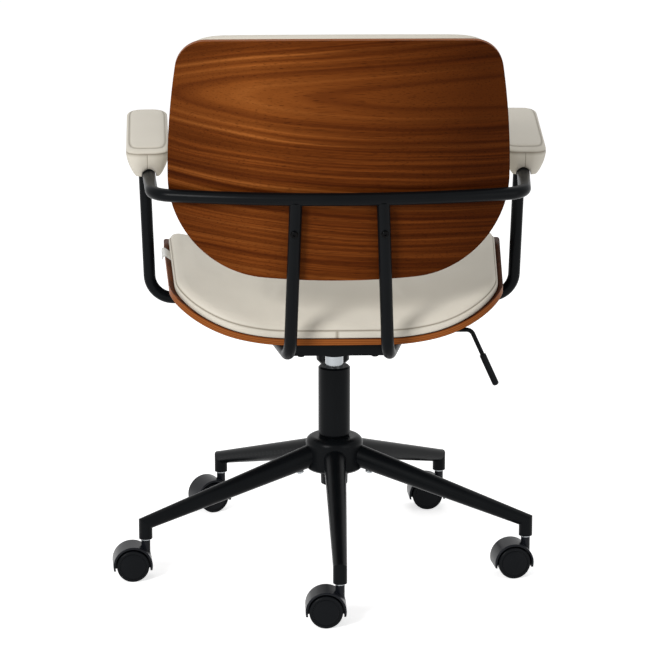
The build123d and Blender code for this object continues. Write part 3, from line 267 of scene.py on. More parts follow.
# Tones of the veneer, from where its pattern is low to where it is high
RING_TONES = ((0.28, "#6a3512"), (0.42, "#7c4218"), (0.56, "#884b1d"), (0.74, "#9c5c29"))
FIBRE_TONES = ((0.28, "#a5937f"), (0.5, "#cdc1b5"), (0.72, "#fff8f0"))
PORE_TONES = ((0.28, "#8a7a70"), (0.42, "#ffffff"))
# Painted light across the panel: lightest left of its middle and shaded to the right, partly the veneer's own
# tone
PAINTED_LIGHT_TONES = ((0.0, "#cfc8c2"), (0.25, "#ffffff"), (0.55, "#d8d0c8"), (0.9, "#a0958b"))
LAYER_TONES = ((0.3, "#7d4420"), (0.7, "#9a5a2b"))


@dataclass(frozen=True, kw_only=True)
class WalnutPly(Finish):
    """Flat-cut walnut veneer under satin lacquer: long arched figure along X, and bare layers at the edge."""

    origin: tuple[float, float, float] = (0.0, 0.0, 0.0)  # outer face's middle, mm
    lean: float = 0.0  # degrees that the panel is turned about X
    bend: float = BACK_BEND
    flat: float = 0.0  # half width of the panel's flat middle
    thick: float = PLY
    veneer: float = 0.6
    layers: int = 7
    heart: float = 150.0  # height of the arches' middle on the panel, mm
    heart_depth: float = 20.0  # how blunt the arches' tips are
    spread: float = 46.0  # how far the arches open over the panel
    opening: float = 220.0  # length over which they do most of it
    start: float = -250.0  # where they start
    ring: float = 12.0  # from one growth ring to the next
    sway: float = 10.0  # how far the rings wander
    sway_size: float = 60.0  # from one bend in them to the next
    sway_width: float = 0.2  # share of such a bend's length
    fading: tuple[float, float] = (8.0, 70.0)  # distances from the heart between which fibres take over
    fading_share: tuple[float, float] = (0.12, 0.95)  # how much the fibres show there
    fibre: float = 4.2
    fibre_width: float = 0.012  # share of a fibre's length
    pore: float = 0.9
    pore_width: float = 0.04  # share of a pore's length
    pore_shade: float = 0.6
    relief: float = 0.12
    painted_light_sweep: float = 500.0  # width over which painted light falls off across the panel, lightest left of its middle; partly the veneer's own tone
    roughness: tuple[float, float] = (0.3, 0.44)
    shine: float = 0.02  # low, so that the white room lays no veil on the wood

    def paint(self, tree: Tree) -> Inputs:
        """Lay the veneer's rings, streaks and pores on the faces and the ply's layers on the edge."""
        seen = add_node(tree, "TexCoord").outputs["Object"]
        panel = add_node(
            tree,
            "Mapping",
            {
                "Vector": seen,
                "Location": [v * MM for v in self.origin],
                "Rotation": (radians(self.lean), 0.0, 0.0),
            },
            vector_type="TEXTURE",
        ).outputs["Vector"]
        hair = add_node(
            tree, "Mapping", {"Vector": panel, "Scale": (self.pore_width, 1.0, 1.0)}
        ).outputs["Vector"]
        figure = self.figure(tree, panel, hair)
        edge, stripes = self.edge(tree, panel)
        colour = add_node(tree, "Mix", {"Factor": edge, 6: figure, 7: stripes}, data_type="RGBA").outputs[2]
        pores = add_node(
            tree, "TexNoise", {"Vector": hair, "Scale": per_mm(self.pore), "Detail": 2.0}
        ).outputs["Fac"]
        return self.surface(tree, colour, pores, pores)

    def figure(self, tree: Tree, panel: Socket, hair: Socket) -> Socket:
        """Draw the veneer's colour, with painted light falling off across the panel.

        Args:
            tree: the material's nodes.
            panel: place on the panel: X along the grain, Z across it.
            hair: the same place, drawn out along the grain for the pores.

        Returns:
            Colour socket.
        """
        axes = add_node(tree, "SeparateXYZ", {"Vector": panel})
        along = axes.outputs["X"]
        across = add_node(
            tree, "Math", {0: axes.outputs["Z"], 1: self.heart * MM}, operation="SUBTRACT"
        ).outputs["Value"]
        flow = self.flow(tree, panel, along, across)
        grown = add_node(
            tree,
            "TexNoise",
            {"W": flow, "Scale": per_mm(self.ring), "Detail": 1.0, "Roughness": 0.5},
            noise_dimensions="1D",
        ).outputs["Fac"]
        rings = add_node(tree, "ValToRGB", {"Fac": grown})
        set_ramp(rings, RING_TONES)
        off = add_node(tree, "Math", {0: across}, operation="ABSOLUTE").outputs["Value"]
        (near, far), (least, most) = self.fading, self.fading_share
        plain = add_node(
            tree,
            "MapRange",
            {"Value": off, "From Min": near * MM, "From Max": far * MM, "To Min": least, "To Max": most},
        ).outputs["Result"]
        lines = add_node(tree, "CombineXYZ", {"X": along, "Y": flow}).outputs["Vector"]
        fibres = add_node(
            tree, "Mapping", {"Vector": lines, "Scale": (self.fibre_width, 1.0, 1.0)}
        ).outputs["Vector"]
        streak = add_node(
            tree,
            "TexNoise",
            {"Vector": fibres, "Scale": per_mm(self.fibre), "Detail": 4.0, "Roughness": 0.62},
            noise_dimensions="2D",
        ).outputs["Fac"]
        streaks = add_node(tree, "ValToRGB", {"Fac": streak})
        set_ramp(streaks, FIBRE_TONES)
        pores = add_node(
            tree, "TexNoise", {"Vector": hair, "Scale": per_mm(self.pore), "Detail": 1.0}
        ).outputs["Fac"]
        dashes = add_node(tree, "ValToRGB", {"Fac": pores})
        set_ramp(dashes, PORE_TONES)
        # painted light: lighter left of the panel's middle, shaded towards the right, partly the veneer's own
        # tone
        width = add_node(
            tree,
            "MapRange",
            {"Value": along, "From Min": -self.painted_light_sweep / 2 * MM, "From Max": self.painted_light_sweep / 2 * MM},
        ).outputs["Result"]
        painted_light_sweep = add_node(tree, "ValToRGB", {"Fac": width})
        set_ramp(painted_light_sweep, PAINTED_LIGHT_TONES)
        colour = rings.outputs["Color"]
        for share, layer in ((plain, streaks), (self.pore_shade, dashes), (1.0, painted_light_sweep)):
            colour = add_node(
                tree,
                "Mix",
                {"Factor": share, 6: colour, 7: layer.outputs["Color"]},
                data_type="RGBA",
                blend_type="MULTIPLY",
            ).outputs[2]
        return colour

    def flow(self, tree: Tree, panel: Socket, along: Socket, across: Socket) -> Socket:
        """Work out which growth ring a place lies on: arches that open along X and then run straight.

        Args:
            tree: the material's nodes.
            panel: place on the panel.
            along: how far along the grain it lies.
            across: how far it lies from the arches' middle.

        Returns:
            Distance through the rings, in metres.
        """
        arch = add_node(tree, "CombineXYZ", {"X": across, "Y": self.heart_depth * MM}).outputs["Vector"]
        reach = add_node(tree, "VectorMath", {0: arch}, operation="LENGTH").outputs["Value"]
        run = add_node(
            tree,
            "Math",
            {0: along, 1: -per_mm(self.opening), 2: self.start / self.opening},
            operation="MULTIPLY_ADD",
        ).outputs["Value"]
        closed = add_node(tree, "Math", {0: run}, operation="EXPONENT").outputs["Value"]
        opened = add_node(
            tree, "Math", {0: closed, 1: self.spread * MM, 2: reach}, operation="MULTIPLY_ADD"
        ).outputs["Value"]
        slow = add_node(
            tree, "Mapping", {"Vector": panel, "Scale": (self.sway_width, 1.0, 1.0)}
        ).outputs["Vector"]
        sway = add_node(
            tree,
            "TexNoise",
            {"Vector": slow, "Scale": per_mm(self.sway_size), "Detail": 2.0, "Roughness": 0.4},
        ).outputs["Fac"]
        return add_node(
            tree, "Math", {0: sway, 1: self.sway * MM, 2: opened}, operation="MULTIPLY_ADD"
        ).outputs["Value"]

    def edge(self, tree: Tree, panel: Socket) -> tuple[Socket, Socket]:
        """Find the bare edge by its depth under the outer face, and draw the ply's layers there.

        Args:
            tree: the material's nodes.
            panel: place on the panel, with Y into its thickness.

        Returns:
            Sockets that say where the edge is and what colour it has.
        """
        axes = add_node(tree, "SeparateXYZ", {"Vector": panel})
        bent = axes.outputs["X"]
        for operation, amount in (("ABSOLUTE", 0.0), ("SUBTRACT", self.flat * MM), ("MAXIMUM", 0.0)):
            bent = add_node(tree, "Math", {0: bent, 1: amount}, operation=operation).outputs["Value"]
        inward = add_node(
            tree, "Math", {0: self.bend * MM, 1: axes.outputs["Y"]}, operation="SUBTRACT"
        ).outputs["Value"]
        spoke = add_node(tree, "CombineXYZ", {"X": bent, "Y": inward}).outputs["Vector"]
        reach = add_node(tree, "VectorMath", {0: spoke}, operation="LENGTH").outputs["Value"]
        depth = add_node(tree, "Math", {0: self.bend * MM, 1: reach}, operation="SUBTRACT").outputs["Value"]
        inside, share = depth, depth
        middle, layer = self.thick / 2, self.thick / self.layers
        core = middle - self.veneer
        for operation, amount in (("SUBTRACT", middle), ("ABSOLUTE", 0.0), ("LESS_THAN", core)):
            inside = add_node(tree, "Math", {0: inside, 1: amount * MM}, operation=operation).outputs["Value"]
        for operation, amount in (("PINGPONG", layer * MM), ("MULTIPLY", per_mm(layer))):
            share = add_node(tree, "Math", {0: share, 1: amount}, operation=operation).outputs["Value"]
        stripes = add_node(tree, "ValToRGB", {"Fac": share})
        set_ramp(stripes, LAYER_TONES)
        return inside, stripes.outputs["Color"]


@dataclass(frozen=True, kw_only=True)
class Paint(Finish):
    """Powder coat or moulded plastic: one dark colour, a faint cloud in the gloss, a fine skin as bump."""

    colour: str
    light: str
    skin: float  # orange peel or mould texture, drawn coarser than the real one so that it shows
    cloud: float = 45.0

    def paint(self, tree: Tree) -> Inputs:
        """Lay the coat."""
        place = add_node(tree, "TexCoord").outputs["Object"]
        cloud = add_node(tree, "TexNoise", {"Vector": place, "Scale": per_mm(self.cloud), "Detail": 3.0})
        tone = add_node(
            tree,
            "Mix",
            {"Factor": cloud.outputs["Fac"], 6: linear(self.colour), 7: linear(self.light)},
            data_type="RGBA",
        )
        skin = add_node(tree, "TexNoise", {"Vector": place, "Scale": per_mm(self.skin), "Detail": 1.0})
        return self.surface(tree, tone.outputs[2], cloud.outputs["Fac"], skin.outputs["Fac"])


@dataclass(frozen=True, kw_only=True)
class Metal(Finish):
    """Bare or plated metal, drawn or turned: fine marks across its axis break up the gloss."""

    colour: str
    mark: float = 0.8
    mark_width: float = 0.15  # share of a mark's length
    depth: float = 0.1
    relief: float = 0.05
    metallic: float = 1.0

    def paint(self, tree: Tree) -> Inputs:
        """Lay the metal with its turning marks."""
        place = add_node(tree, "TexCoord").outputs["Object"]
        drawn = add_node(
            tree, "Mapping", {"Vector": place, "Scale": (self.mark_width, self.mark_width, 1.0)}
        ).outputs["Vector"]
        marks = add_node(
            tree, "TexNoise", {"Vector": drawn, "Scale": per_mm(self.mark), "Detail": 3.0}
        ).outputs["Fac"]
        return self.surface(tree, linear(self.colour), marks, marks)


@dataclass(frozen=True, kw_only=True)
class Tape(Finish):
    """Woven polyester tape: fine ribs, dull and white."""

    colour: str = "#e9e8e4"
    shade: str = "#cfcdc7"
    rib: float = 1.0
    relief: float = 0.3
    roughness: tuple[float, float] = (0.85, 0.85)

    def paint(self, tree: Tree) -> Inputs:
        """Lay the weave."""
        place = add_node(tree, "TexCoord").outputs["Object"]
        ribs = add_node(
            tree,
            "TexWave",
            {"Vector": place, "Scale": per_mm(self.rib) / WAVE_PHASE, "Distortion": 0.4},
            bands_direction="Z",
        ).outputs["Fac"]
        tone = add_node(
            tree, "Mix", {"Factor": ribs, 6: linear(self.shade), 7: linear(self.colour)}, data_type="RGBA"
        )
        return self.surface(tree, tone.outputs[2], ribs, ribs)


# Coated leather: cream, dull, with a pebble that shows close up and painted shade lines at its seams
LEATHER = Leather(name="split_leather_coated_cream")
# Lacquered walnut: warm brown with long arches, which lie higher on the back than under the seat, and painted
# light falling off across each panel
BACK_PLY = WalnutPly(
    name="walnut_veneer_lacquered_back", origin=(0.0, BACK_FACE_Y, BACK_RAIL_Z), lean=BACK_LEAN
)
SEAT_PLY = WalnutPly(
    name="walnut_veneer_lacquered_seat",
    origin=(0.0, 0.0, SEAT_UNDER_Z),
    lean=90.0,
    bend=SEAT_BEND,
    flat=SEAT_FLAT,
    heart=40.0,
)
# Powder coat: deep black with a soft sheen along the tubes and a faint orange peel
POWDER_COAT = Paint(
    name="steel_powder_coated_black",
    colour="#090b0d", light="#0f1113", roughness=(0.24, 0.36), skin=1.6, relief=0.1, shine=0.06,
)
# Moulded nylon: black with a fine mould texture; the hoods are a little lighter and glossier
NYLON = Paint(
    name="nylon_moulded_black",
    colour="#0a0c0f", light="#0f1114", roughness=(0.26, 0.38), skin=0.9, relief=0.14, shine=0.08,
)
HOOD_NYLON = Paint(
    name="nylon_moulded_black_satin",
    colour="#101217", light="#15171c", roughness=(0.24, 0.36), skin=1.1, relief=0.12, shine=0.12,
)
# Black oxide: oily black with small sharp lights on the bolts' heads
BOLT_BLACK = Paint(
    name="steel_black_oxide",
    colour="#020202", light="#050506", roughness=(0.05, 0.11), skin=0.7, relief=0.04, shine=0.06,
)
# Chrome: bright, mirrors the room in soft streaks; zinc is lighter and duller
CHROME = Metal(name="steel_chrome_plated", colour="#9ea2a5", roughness=(0.112, 0.224))
ZINC = Metal(name="steel_zinc_plated", colour="#b4b8bb", roughness=(0.21, 0.42))
# Woven tape: dull white with fine ribs
TAPE = Tape(name="polyester_tape_white")


def dress(nodes: Iterable[str], finish: Finish) -> None:
    """Give CAD nodes a finish.

    Args:
        nodes: names of the nodes.
        finish: what they are made of.
    """
    for name in nodes:
        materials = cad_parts[name].data.materials
        materials.clear()
        materials.append(finish.material())
        LOG.info("%s: %s", name, finish.name)


def new_piece(
    name: str, mesh: bmesh.types.BMesh, finish: Finish, body: Body | None
) -> bpy.types.Object:
    """Turn a bmesh into a finished piece on a body.

    Args:
        name: name of the piece.
        mesh: its shape, in metres in the row frame; it is freed here.
        finish: what it is made of.
        body: body that it rides on, or None for a piece that rides on none.

    Returns:
        The new object.
    """
    data = bpy.data.meshes.new(name)
    mesh.to_mesh(data)
    mesh.free()
    data.shade_smooth()
    data.materials.append(finish.material())
    piece = bpy.data.objects.new(name, data)
    bpy.context.scene.collection.objects.link(piece)
    if body is not None:
        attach(piece, body.value)
    LOG.info("%s: %d faces, moves with %s", name, len(data.polygons), body.value if body else "two bodies")
    return piece


def way_round(a: float, b: float) -> float:
    """Return how far round its square ring a grid point lies, from 0 to 1, starting at (1, -1)."""
    share = max(abs(a), abs(b))
    if share == 0.0:
        return 0.0
    a, b = a / share, b / share
    if a >= 1.0 and b < 1.0:
        return (b + 1) / 8
    if b >= 1.0 and a > -1.0:
        return 0.25 + (1 - a) / 8
    if a <= -1.0 and b > -1.0:
        return 0.5 + (1 - b) / 8
    return 0.75 + (a + 1) / 8


class Outline:
    """Smooth closed line round a soft piece, measured on its CAD node and split at its four corners."""

    def __init__(self, flat: list[Vector], cells: int, rounds: int = 3) -> None:
        """Lay the line round the outermost of some points.

        Args:
            flat: points of the piece, seen square on.
            cells: steps along each of the four sides.
            rounds: times that the line is smoothed.
        """
        hull = [flat[k] for k in convex_hull_2d(flat)]
        turn = sum(p.x * q.y - q.x * p.y for p, q in zip(hull, hull[1:] + hull[:1]))
        if turn < 0:
            hull.reverse()
        corners = [
            max(range(len(hull)), key=lambda k, i=i, j=j: i * hull[k].x + j * hull[k].y)
            for i, j in ((1, -1), (1, 1), (-1, 1), (-1, -1))
        ]
        points: list[Vector] = []
        for first, last in zip(corners, corners[1:] + corners[:1]):
            stop = last if last > first else last + len(hull)
            side = [hull[k % len(hull)] for k in range(first, stop + 1)]
            points += self.even_steps(side, cells)
        for _ in range(rounds):
            following = points[1:] + points[:1]
            points = [(points[k - 1] + points[k] * 2 + following[k]) / 4 for k in range(len(points))]
        self.points = points
        self.middle = Vector([(min(side) + max(side)) / 2 for side in zip(*points)])

    @staticmethod
    def even_steps(side: list[Vector], cells: int) -> list[Vector]:
        """Split one side into even steps.

        Args:
            side: corners of the side's line.
            cells: steps wanted.

        Returns:
            Start of each step.
        """
        lengths = [(q - p).length for p, q in zip(side, side[1:])]
        whole = sum(lengths)
        steps = []
        for k in range(cells):
            left = whole * k / cells
            for p, q, length in zip(side, side[1:], lengths):
                if left <= length:
                    steps.append(p.lerp(q, left / length if length else 0.0))
                    break
                left -= length
        return steps

    def at(self, way: float) -> tuple[Vector, Vector]:
        """Find a point of the line and the way out from it.

        Args:
            way: how far round, from 0 to 1.

        Returns:
            Point and outward normal.
        """
        count = len(self.points)
        where = way * count
        k = int(where) % count
        share = where - int(where)
        before, here, after, beyond = (self.points[(k + j) % count] for j in (-1, 0, 1, 2))
        along = (after - before).lerp(beyond - here, share).normalized()
        return here.lerp(after, share), Vector((along.y, -along.x))


@dataclass(frozen=True)
class Ring:
    """One line round a soft piece's side: how far inside the outline, how high, how much painted shade it
    gets in a seam.
    """

    inset: float
    height: float
    # painted shade in the seam, from 0 to 1
    seam: float = 0.0
    panel: float = 0.0  # how far it follows the top panel's outline, from 0 to 1


def ring_grid(mesh: bmesh.types.BMesh, cells: int, place: Place) -> None:
    """Add a square grid that is laid out as rings round its middle.

    Args:
        mesh: bmesh to add to.
        cells: cells along each side of the grid.
        place: gives a point and its painted seam shade from how far round (0 to 1) and how far out (0 to 1).
    """
    layer = mesh.verts.layers.float.get(SEAM_SHADE_LAYER) or mesh.verts.layers.float.new(SEAM_SHADE_LAYER)
    made = bmesh.ops.create_grid(mesh, x_segments=cells, y_segments=cells, size=1.0)
    for vert in made["verts"]:
        share = max(abs(vert.co.x), abs(vert.co.y))
        point, seam = place(way_round(vert.co.x, vert.co.y), share)
        vert.co = point
        vert[layer] = seam


@dataclass
class Cushion:
    """A sewn leather piece on a carrier: boxing round its side, a seam, and a crowned top panel.

    Its own axes are two across the piece and one up from its carrier, in millimetres.
    """

    name: str
    node: str
    rings: tuple[Ring, ...]
    crown: float  # height in the middle
    cells: int = 88
    fill: float = 0.7
    pressure: float = 4.0
    swell: float = 5.0  # most that a point may move as the piece is blown up
    fullness: float = 2.2  # how flat the top stays before it falls to the seam
    join: tuple[int, int] = (1, 5)  # first and last ring of the seam that crosses the rear end
    join_depth: float = 0.9
    join_shade: float = 0.9
    rounds: int = 3  # times that the outline is smoothed
    narrow: float = 1.0  # share of the CAD node's width that the leather takes
    panel_rounds: int = 3  # times that the top panel's outline is smoothed, for its rounder corners
    panel_short: float = 0.0  # how far the top panel stops short of the rear end
    merge: float = 0.02  # points closer than this become one
    stretch: float = 25.0  # stiffness of the leather as it is pulled
    bending: float = 4.0
    steps: int = 20  # frames that it is blown up for

    def to_row(self, across: float, along: float, up: float) -> Vector:
        """Return a point of the row frame, in metres, from the piece's own axes."""
        raise NotImplementedError

    def from_row(self, point: Vector) -> Vector:
        """Return where a point of the row frame lies across and along the piece."""
        raise NotImplementedError

    def carrier(self, across: float, along: float) -> float:
        """Return the carrier's height under a point."""
        raise NotImplementedError

    def outline(self, rounds: int, short: float = 0.0) -> Outline:
        """Return the outline of the CAD node, seen square on.

        Args:
            rounds: times that it is smoothed.
            short: how far it stops short of the rear end.
        """
        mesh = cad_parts[self.node].data
        flat = [self.from_row(vert.co) for vert in mesh.vertices]
        end = max(point.y for point in flat)
        kept = 1 - short / (end - min(point.y for point in flat))
        drawn = [Vector((point.x * self.narrow, end - (end - point.y) * kept)) for point in flat]
        return Outline(drawn, self.cells, rounds)

    def lay(self) -> bmesh.types.BMesh:
        """Lay the top with its side rings, and the underside, and join them.

        Returns:
            The closed shape.
        """
        line, panel = self.outline(self.rounds), self.outline(self.panel_rounds, self.panel_short)
        half = self.cells // 2
        panel_rings = half - (len(self.rings) - 1)
        rim = self.rings[-1]
        foot = self.rings[0]

        def top(way: float, share: float) -> tuple[Vector, float]:
            ring = share * half
            level = min(max(0, round(half - ring)), len(self.rings) - 1)
            here = self.rings[level]
            edge, normal = line.at(way)
            edge = edge.lerp(panel.at(way)[0], here.panel)
            if ring >= panel_rings:
                middle = abs(way - REAR_MIDDLE) < ON_SEAM / self.cells
                joined = middle and self.join[0] <= level <= self.join[1]
                flat = edge - normal * (here.inset + self.join_depth * joined)
                seam = max(here.seam, self.join_shade * joined)
                return self.to_row(*flat, self.carrier(*flat) + here.height), seam
            reach = ring / panel_rings
            flat = line.middle + (edge - normal * rim.inset - line.middle) * reach
            rise = (self.crown - rim.height) * (1 - reach**self.fullness)
            return self.to_row(*flat, self.carrier(*flat) + rim.height + rise), 0.0

        def under(way: float, share: float) -> tuple[Vector, float]:
            edge, normal = line.at(way)
            flat = line.middle + (edge - normal * foot.inset - line.middle) * share
            return self.to_row(*flat, self.carrier(*flat) + foot.height), 0.0

        mesh = bmesh.new()
        ring_grid(mesh, self.cells, top)
        ring_grid(mesh, self.cells, under)
        bmesh.ops.remove_doubles(mesh, verts=mesh.verts, dist=self.merge * MM)
        bmesh.ops.recalc_face_normals(mesh, faces=mesh.faces)
        return mesh

    def height(self, point: Vector) -> float:
        """Return how far a point of the row frame lies from the carrier."""
        flat = self.from_row(point)
        return (point - self.to_row(*flat, self.carrier(*flat))).length / MM

    def held(self, piece: bpy.types.Object) -> list[int]:
        """Return the points that the carrier and the seams hold still."""
        rim = self.rings[-1].height
        return [vert.index for vert in piece.data.vertices if self.height(vert.co) <= rim]

    def blow_up(self, piece: bpy.types.Object) -> None:
        """Blow the top panel up as cloth against its seams, and keep what it moved to.

        Args:
            piece: the laid piece.
        """
        group = piece.vertex_groups.new(name="held")
        group.add(self.held(piece), 1.0, "REPLACE")
        cloth = piece.modifiers.new("cloth", "CLOTH")
        cloth.settings.vertex_group_mass = group.name
        cloth.settings.use_pressure = True
        cloth.settings.uniform_pressure_force = self.pressure
        cloth.settings.effector_weights.gravity = 0.0
        cloth.settings.tension_stiffness = self.stretch
        cloth.settings.compression_stiffness = self.stretch
        cloth.settings.bending_stiffness = self.bending
        scene = bpy.context.scene
        for step in range(1, self.steps + 1):
            scene.frame_set(step)
        blown = piece.evaluated_get(bpy.context.evaluated_depsgraph_get()).data
        for vert, moved in zip(piece.data.vertices, blown.vertices):
            shift = moved.co - vert.co
            vert.co += shift * min(1.0, self.swell * MM / max(shift.length, 1e-9))
        piece.modifiers.remove(cloth)
        piece.vertex_groups.remove(group)
        scene.frame_set(1)

    def build(self) -> bpy.types.Object:
        """Make the piece and put it in its CAD solid's place.

        Returns:
            The finished piece.
        """
        piece = new_piece(self.name, self.lay(), LEATHER, Body.SEAT)
        self.blow_up(piece)
        smooth = piece.modifiers.new("round", "SUBSURF")
        smooth.levels = smooth.render_levels = 1
        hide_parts(self.node)
        return piece


@dataclass
class SeatCushion(Cushion):
    """Seat cushion on the dished shell: flat in the middle, turned up at the sides."""

    shell_top: float = SEAT_UNDER_Z + PLY
    shell_flat: float = SEAT_FLAT
    shell_bend: float = SEAT_BEND - PLY

    def to_row(self, across: float, along: float, up: float) -> Vector:
        """Return the point in the row frame: the piece's axes are X, Y and Z."""
        return Vector((across, along, up)) * MM

    def from_row(self, point: Vector) -> Vector:
        """Return the point's place seen from above."""
        return Vector((point.x, point.y)) / MM

    def carrier(self, across: float, along: float) -> float:
        """Return the shell's upper face: level, then an arc up each side."""
        past = min(max(abs(across) - self.shell_flat, 0.0), self.shell_bend)
        return self.shell_top + self.shell_bend - sqrt(self.shell_bend**2 - past**2)


@dataclass
class BackCushion(Cushion):
    """Back pad on the front of the bent shell, on axes that lean with it."""

    face_y: float = BACK_FACE_Y
    rail_z: float = BACK_RAIL_Z
    lean: float = BACK_LEAN
    ply: float = PLY
    bend: float = BACK_BEND

    def to_row(self, across: float, along: float, up: float) -> Vector:
        """Return the point in the row frame: up is forward, square to the back."""
        tilt = radians(self.lean)
        y = self.face_y - along * sin(tilt) + up * cos(tilt)
        z = self.rail_z + along * cos(tilt) + up * sin(tilt)
        return Vector((across, y, z)) * MM

    def from_row(self, point: Vector) -> Vector:
        """Return the point's place seen square on to the back."""
        tilt = radians(self.lean)
        y, z = point.y / MM - self.face_y, point.z / MM - self.rail_z
        return Vector((point.x / MM, z * cos(tilt) - y * sin(tilt)))

    def carrier(self, across: float, along: float) -> float:
        """Return the shell's front face."""
        inner = self.bend - self.ply
        return self.bend - sqrt(inner**2 - across**2)


@dataclass
class ArmPad(Cushion):
    """Arm pad: drawn-in flanks, full shoulders, a top panel inside its seam, and a groove over the tube."""

    side: Side = Side.RIGHT
    rear: tuple[float, float, float] = (281.0, -140.0, 639.5)  # middle of the foot at each end
    front: tuple[float, float, float] = (292.0, 146.0, 652.2)
    tube_rear: tuple[float, float, float] = (271.0, -242.0, 637.0)  # two points of the tube's centre line
    tube_front: tuple[float, float, float] = (298.0, 118.0, 653.0)
    tube_room: float = 10.3  # radius kept clear round that line

    def axes(self) -> tuple[Vector, Vector, Vector, Vector]:
        """Return the right-hand pad's rear end and its ways across, along and up."""
        rear = Vector(self.rear)
        along = (Vector(self.front) - rear).normalized()
        across = Vector((along.y, -along.x, 0.0)).normalized()
        return rear, across, along, across.cross(along)

    def to_row(self, across: float, along: float, up: float) -> Vector:
        """Return the point in the row frame, kept out of the tube."""
        rear, side, way, rise = self.axes()
        point = rear + side * across + way * along + rise * up
        start = Vector(self.tube_rear)
        run = (Vector(self.tube_front) - start).normalized()
        off = point - start
        beside = off.dot(side) - off.dot(run) * run.dot(side)
        if abs(beside) < self.tube_room:
            above = (off - run * off.dot(run)).dot(rise)
            roof = sqrt(self.tube_room**2 - beside**2)
            point += rise * max(0.0, roof - above)
        return Vector((point.x * self.side.value, point.y, point.z)) * MM

    def from_rear(self, point: Vector) -> Vector:
        """Return the way to a point of the row frame from the rear end, as on the right-hand pad, in mm."""
        return Vector((point.x * self.side.value, point.y, point.z)) / MM - self.axes()[0]

    def from_row(self, point: Vector) -> Vector:
        """Return the point's place seen from above the pad."""
        _, side, way, _ = self.axes()
        off = self.from_rear(point)
        return Vector((off.dot(side), off.dot(way)))

    def carrier(self, across: float, along: float) -> float:
        """Return the pad's own foot."""
        return 0.0

    def height(self, point: Vector) -> float:
        """Return how far a point of the row frame lies above the pad's foot."""
        return self.from_rear(point).dot(self.axes()[3])


# From the foot up: boxing, its seam, and the shoulder that the top panel starts from; a third value is
# painted shade in the seam
SEAT_RINGS = tuple(
    Ring(*row)
    for row in (
        (1.0, 0.3), (-0.9, 0.4), (-1.7, 2.0), (-2.0, 5.2), (-1.6, 8.4), (-0.6, 10.2), (0.8, 11.0, 0.6),
        (1.6, 11.4, 1.0), (1.4, 12.2, 0.6), (1.4, 13.4), (2.2, 16.0), (4.4, 19.0), (8.0, 22.0),
        (13.6, 25.0),
    )
)
BACK_RINGS = tuple(
    Ring(*row)
    for row in (
        (5.0, 0.5), (2.2, 1.2), (0.6, 3.4), (0.0, 8.0), (0.0, 13.0), (0.6, 17.0), (1.4, 18.4),
        (2.8, 19.2, 0.6), (3.6, 19.8, 1.0), (3.6, 20.8, 0.6), (3.8, 22.0), (5.2, 24.0), (8.5, 26.6),
        (14.0, 29.0),
    )
)
# From the foot up: flank, shoulder seam, rolled edge, and the top panel's seam; a third value is painted
# shade in a seam
PAD_RINGS = tuple(
    Ring(*row)
    for row in (
        (16.0, 0.0), (14.2, 0.4), (11.6, 3.6), (8.4, 9.0), (4.8, 16.5), (2.0, 24.5), (0.4, 33.0),
        (0.8, 36.2, 0.5), (1.7, 37.0, 1.0), (0.9, 37.9, 0.5), (0.8, 39.4), (1.6, 41.4, 0.0, 0.3),
        (3.0, 42.7, 0.0, 0.7), (4.4, 43.4, 0.5, 1.0), (5.2, 42.8, 1.0, 1.0), (6.0, 43.5, 0.5, 1.0),
        (8.0, 44.4, 0.0, 1.0), (11.0, 45.2, 0.0, 1.0),
    )
)


@dataclass
class Tab:
    """Blank white tape, folded double, that comes out under the seat's left edge and hangs over the rim."""

    start: tuple[float, float, float] = (-252.6, 46.0, 472.2)
    length: float = 48.0
    lie: float = 12.0  # length that lies on the shell
    bow: float = 6.0  # length of the bend over the rim
    hang: float = 3.0  # length that hangs
    slope: float = 36.0  # degrees that the shell rises there
    droop: float = 84.0  # degrees that the hanging end points down
    fold: float = 0.5  # half the gap between the two layers
    thick: float = 0.3
    splay: float = 0.061  # how the rim widens to the front
    climb: float = 0.045  # how it rises to the front
    cells: tuple[int, int] = (64, 12)  # along the tape and across it

    def path(self, run: float) -> tuple[float, float, float]:
        """Follow the tape out over the rim.

        Args:
            run: length of tape from its start, mm.

        Returns:
            How far out and up it is there, and its angle above the level.
        """
        rise, fall = radians(self.slope), -radians(self.droop)
        flat = min(run, self.lie)
        out, up = flat * cos(rise), flat * sin(rise)
        bent = min(max(run - self.lie, 0.0), self.bow)
        turn = (fall - rise) / self.bow
        angle = rise + turn * bent
        out += (sin(angle) - sin(rise)) / turn
        up += (cos(rise) - cos(angle)) / turn
        free = max(run - self.lie - self.bow, 0.0)
        return out + free * cos(fall), up + free * sin(fall), angle

    def build(self) -> None:
        """Lay the tape out over the rim, round its fold and back."""
        mesh = bmesh.new()
        runs, rows = self.cells
        made = bmesh.ops.create_grid(mesh, x_segments=runs, y_segments=rows, size=1.0)
        reach = self.lie + self.bow + self.hang
        whole = 2 * reach + pi * self.fold
        for vert in made["verts"]:
            run = (vert.co.x + 1) / 2 * whole
            turn = min(max((run - reach) / self.fold, 0.0), pi)
            out, up, angle = self.path(min(run, reach, whole - run) + self.fold * sin(turn))
            layer = self.fold * cos(turn)
            along = (vert.co.y + 1) / 2 * self.length
            x = -out + layer * sin(angle) - self.splay * along
            z = up + layer * cos(angle) + self.climb * along
            vert.co = (Vector(self.start) + Vector((x, along, z))) * MM
        bmesh.ops.solidify(mesh, geom=mesh.faces[:], thickness=self.thick * MM)
        bmesh.ops.recalc_face_normals(mesh, faces=mesh.faces)
        new_piece("seat_tab", mesh, TAPE, Body.SEAT)


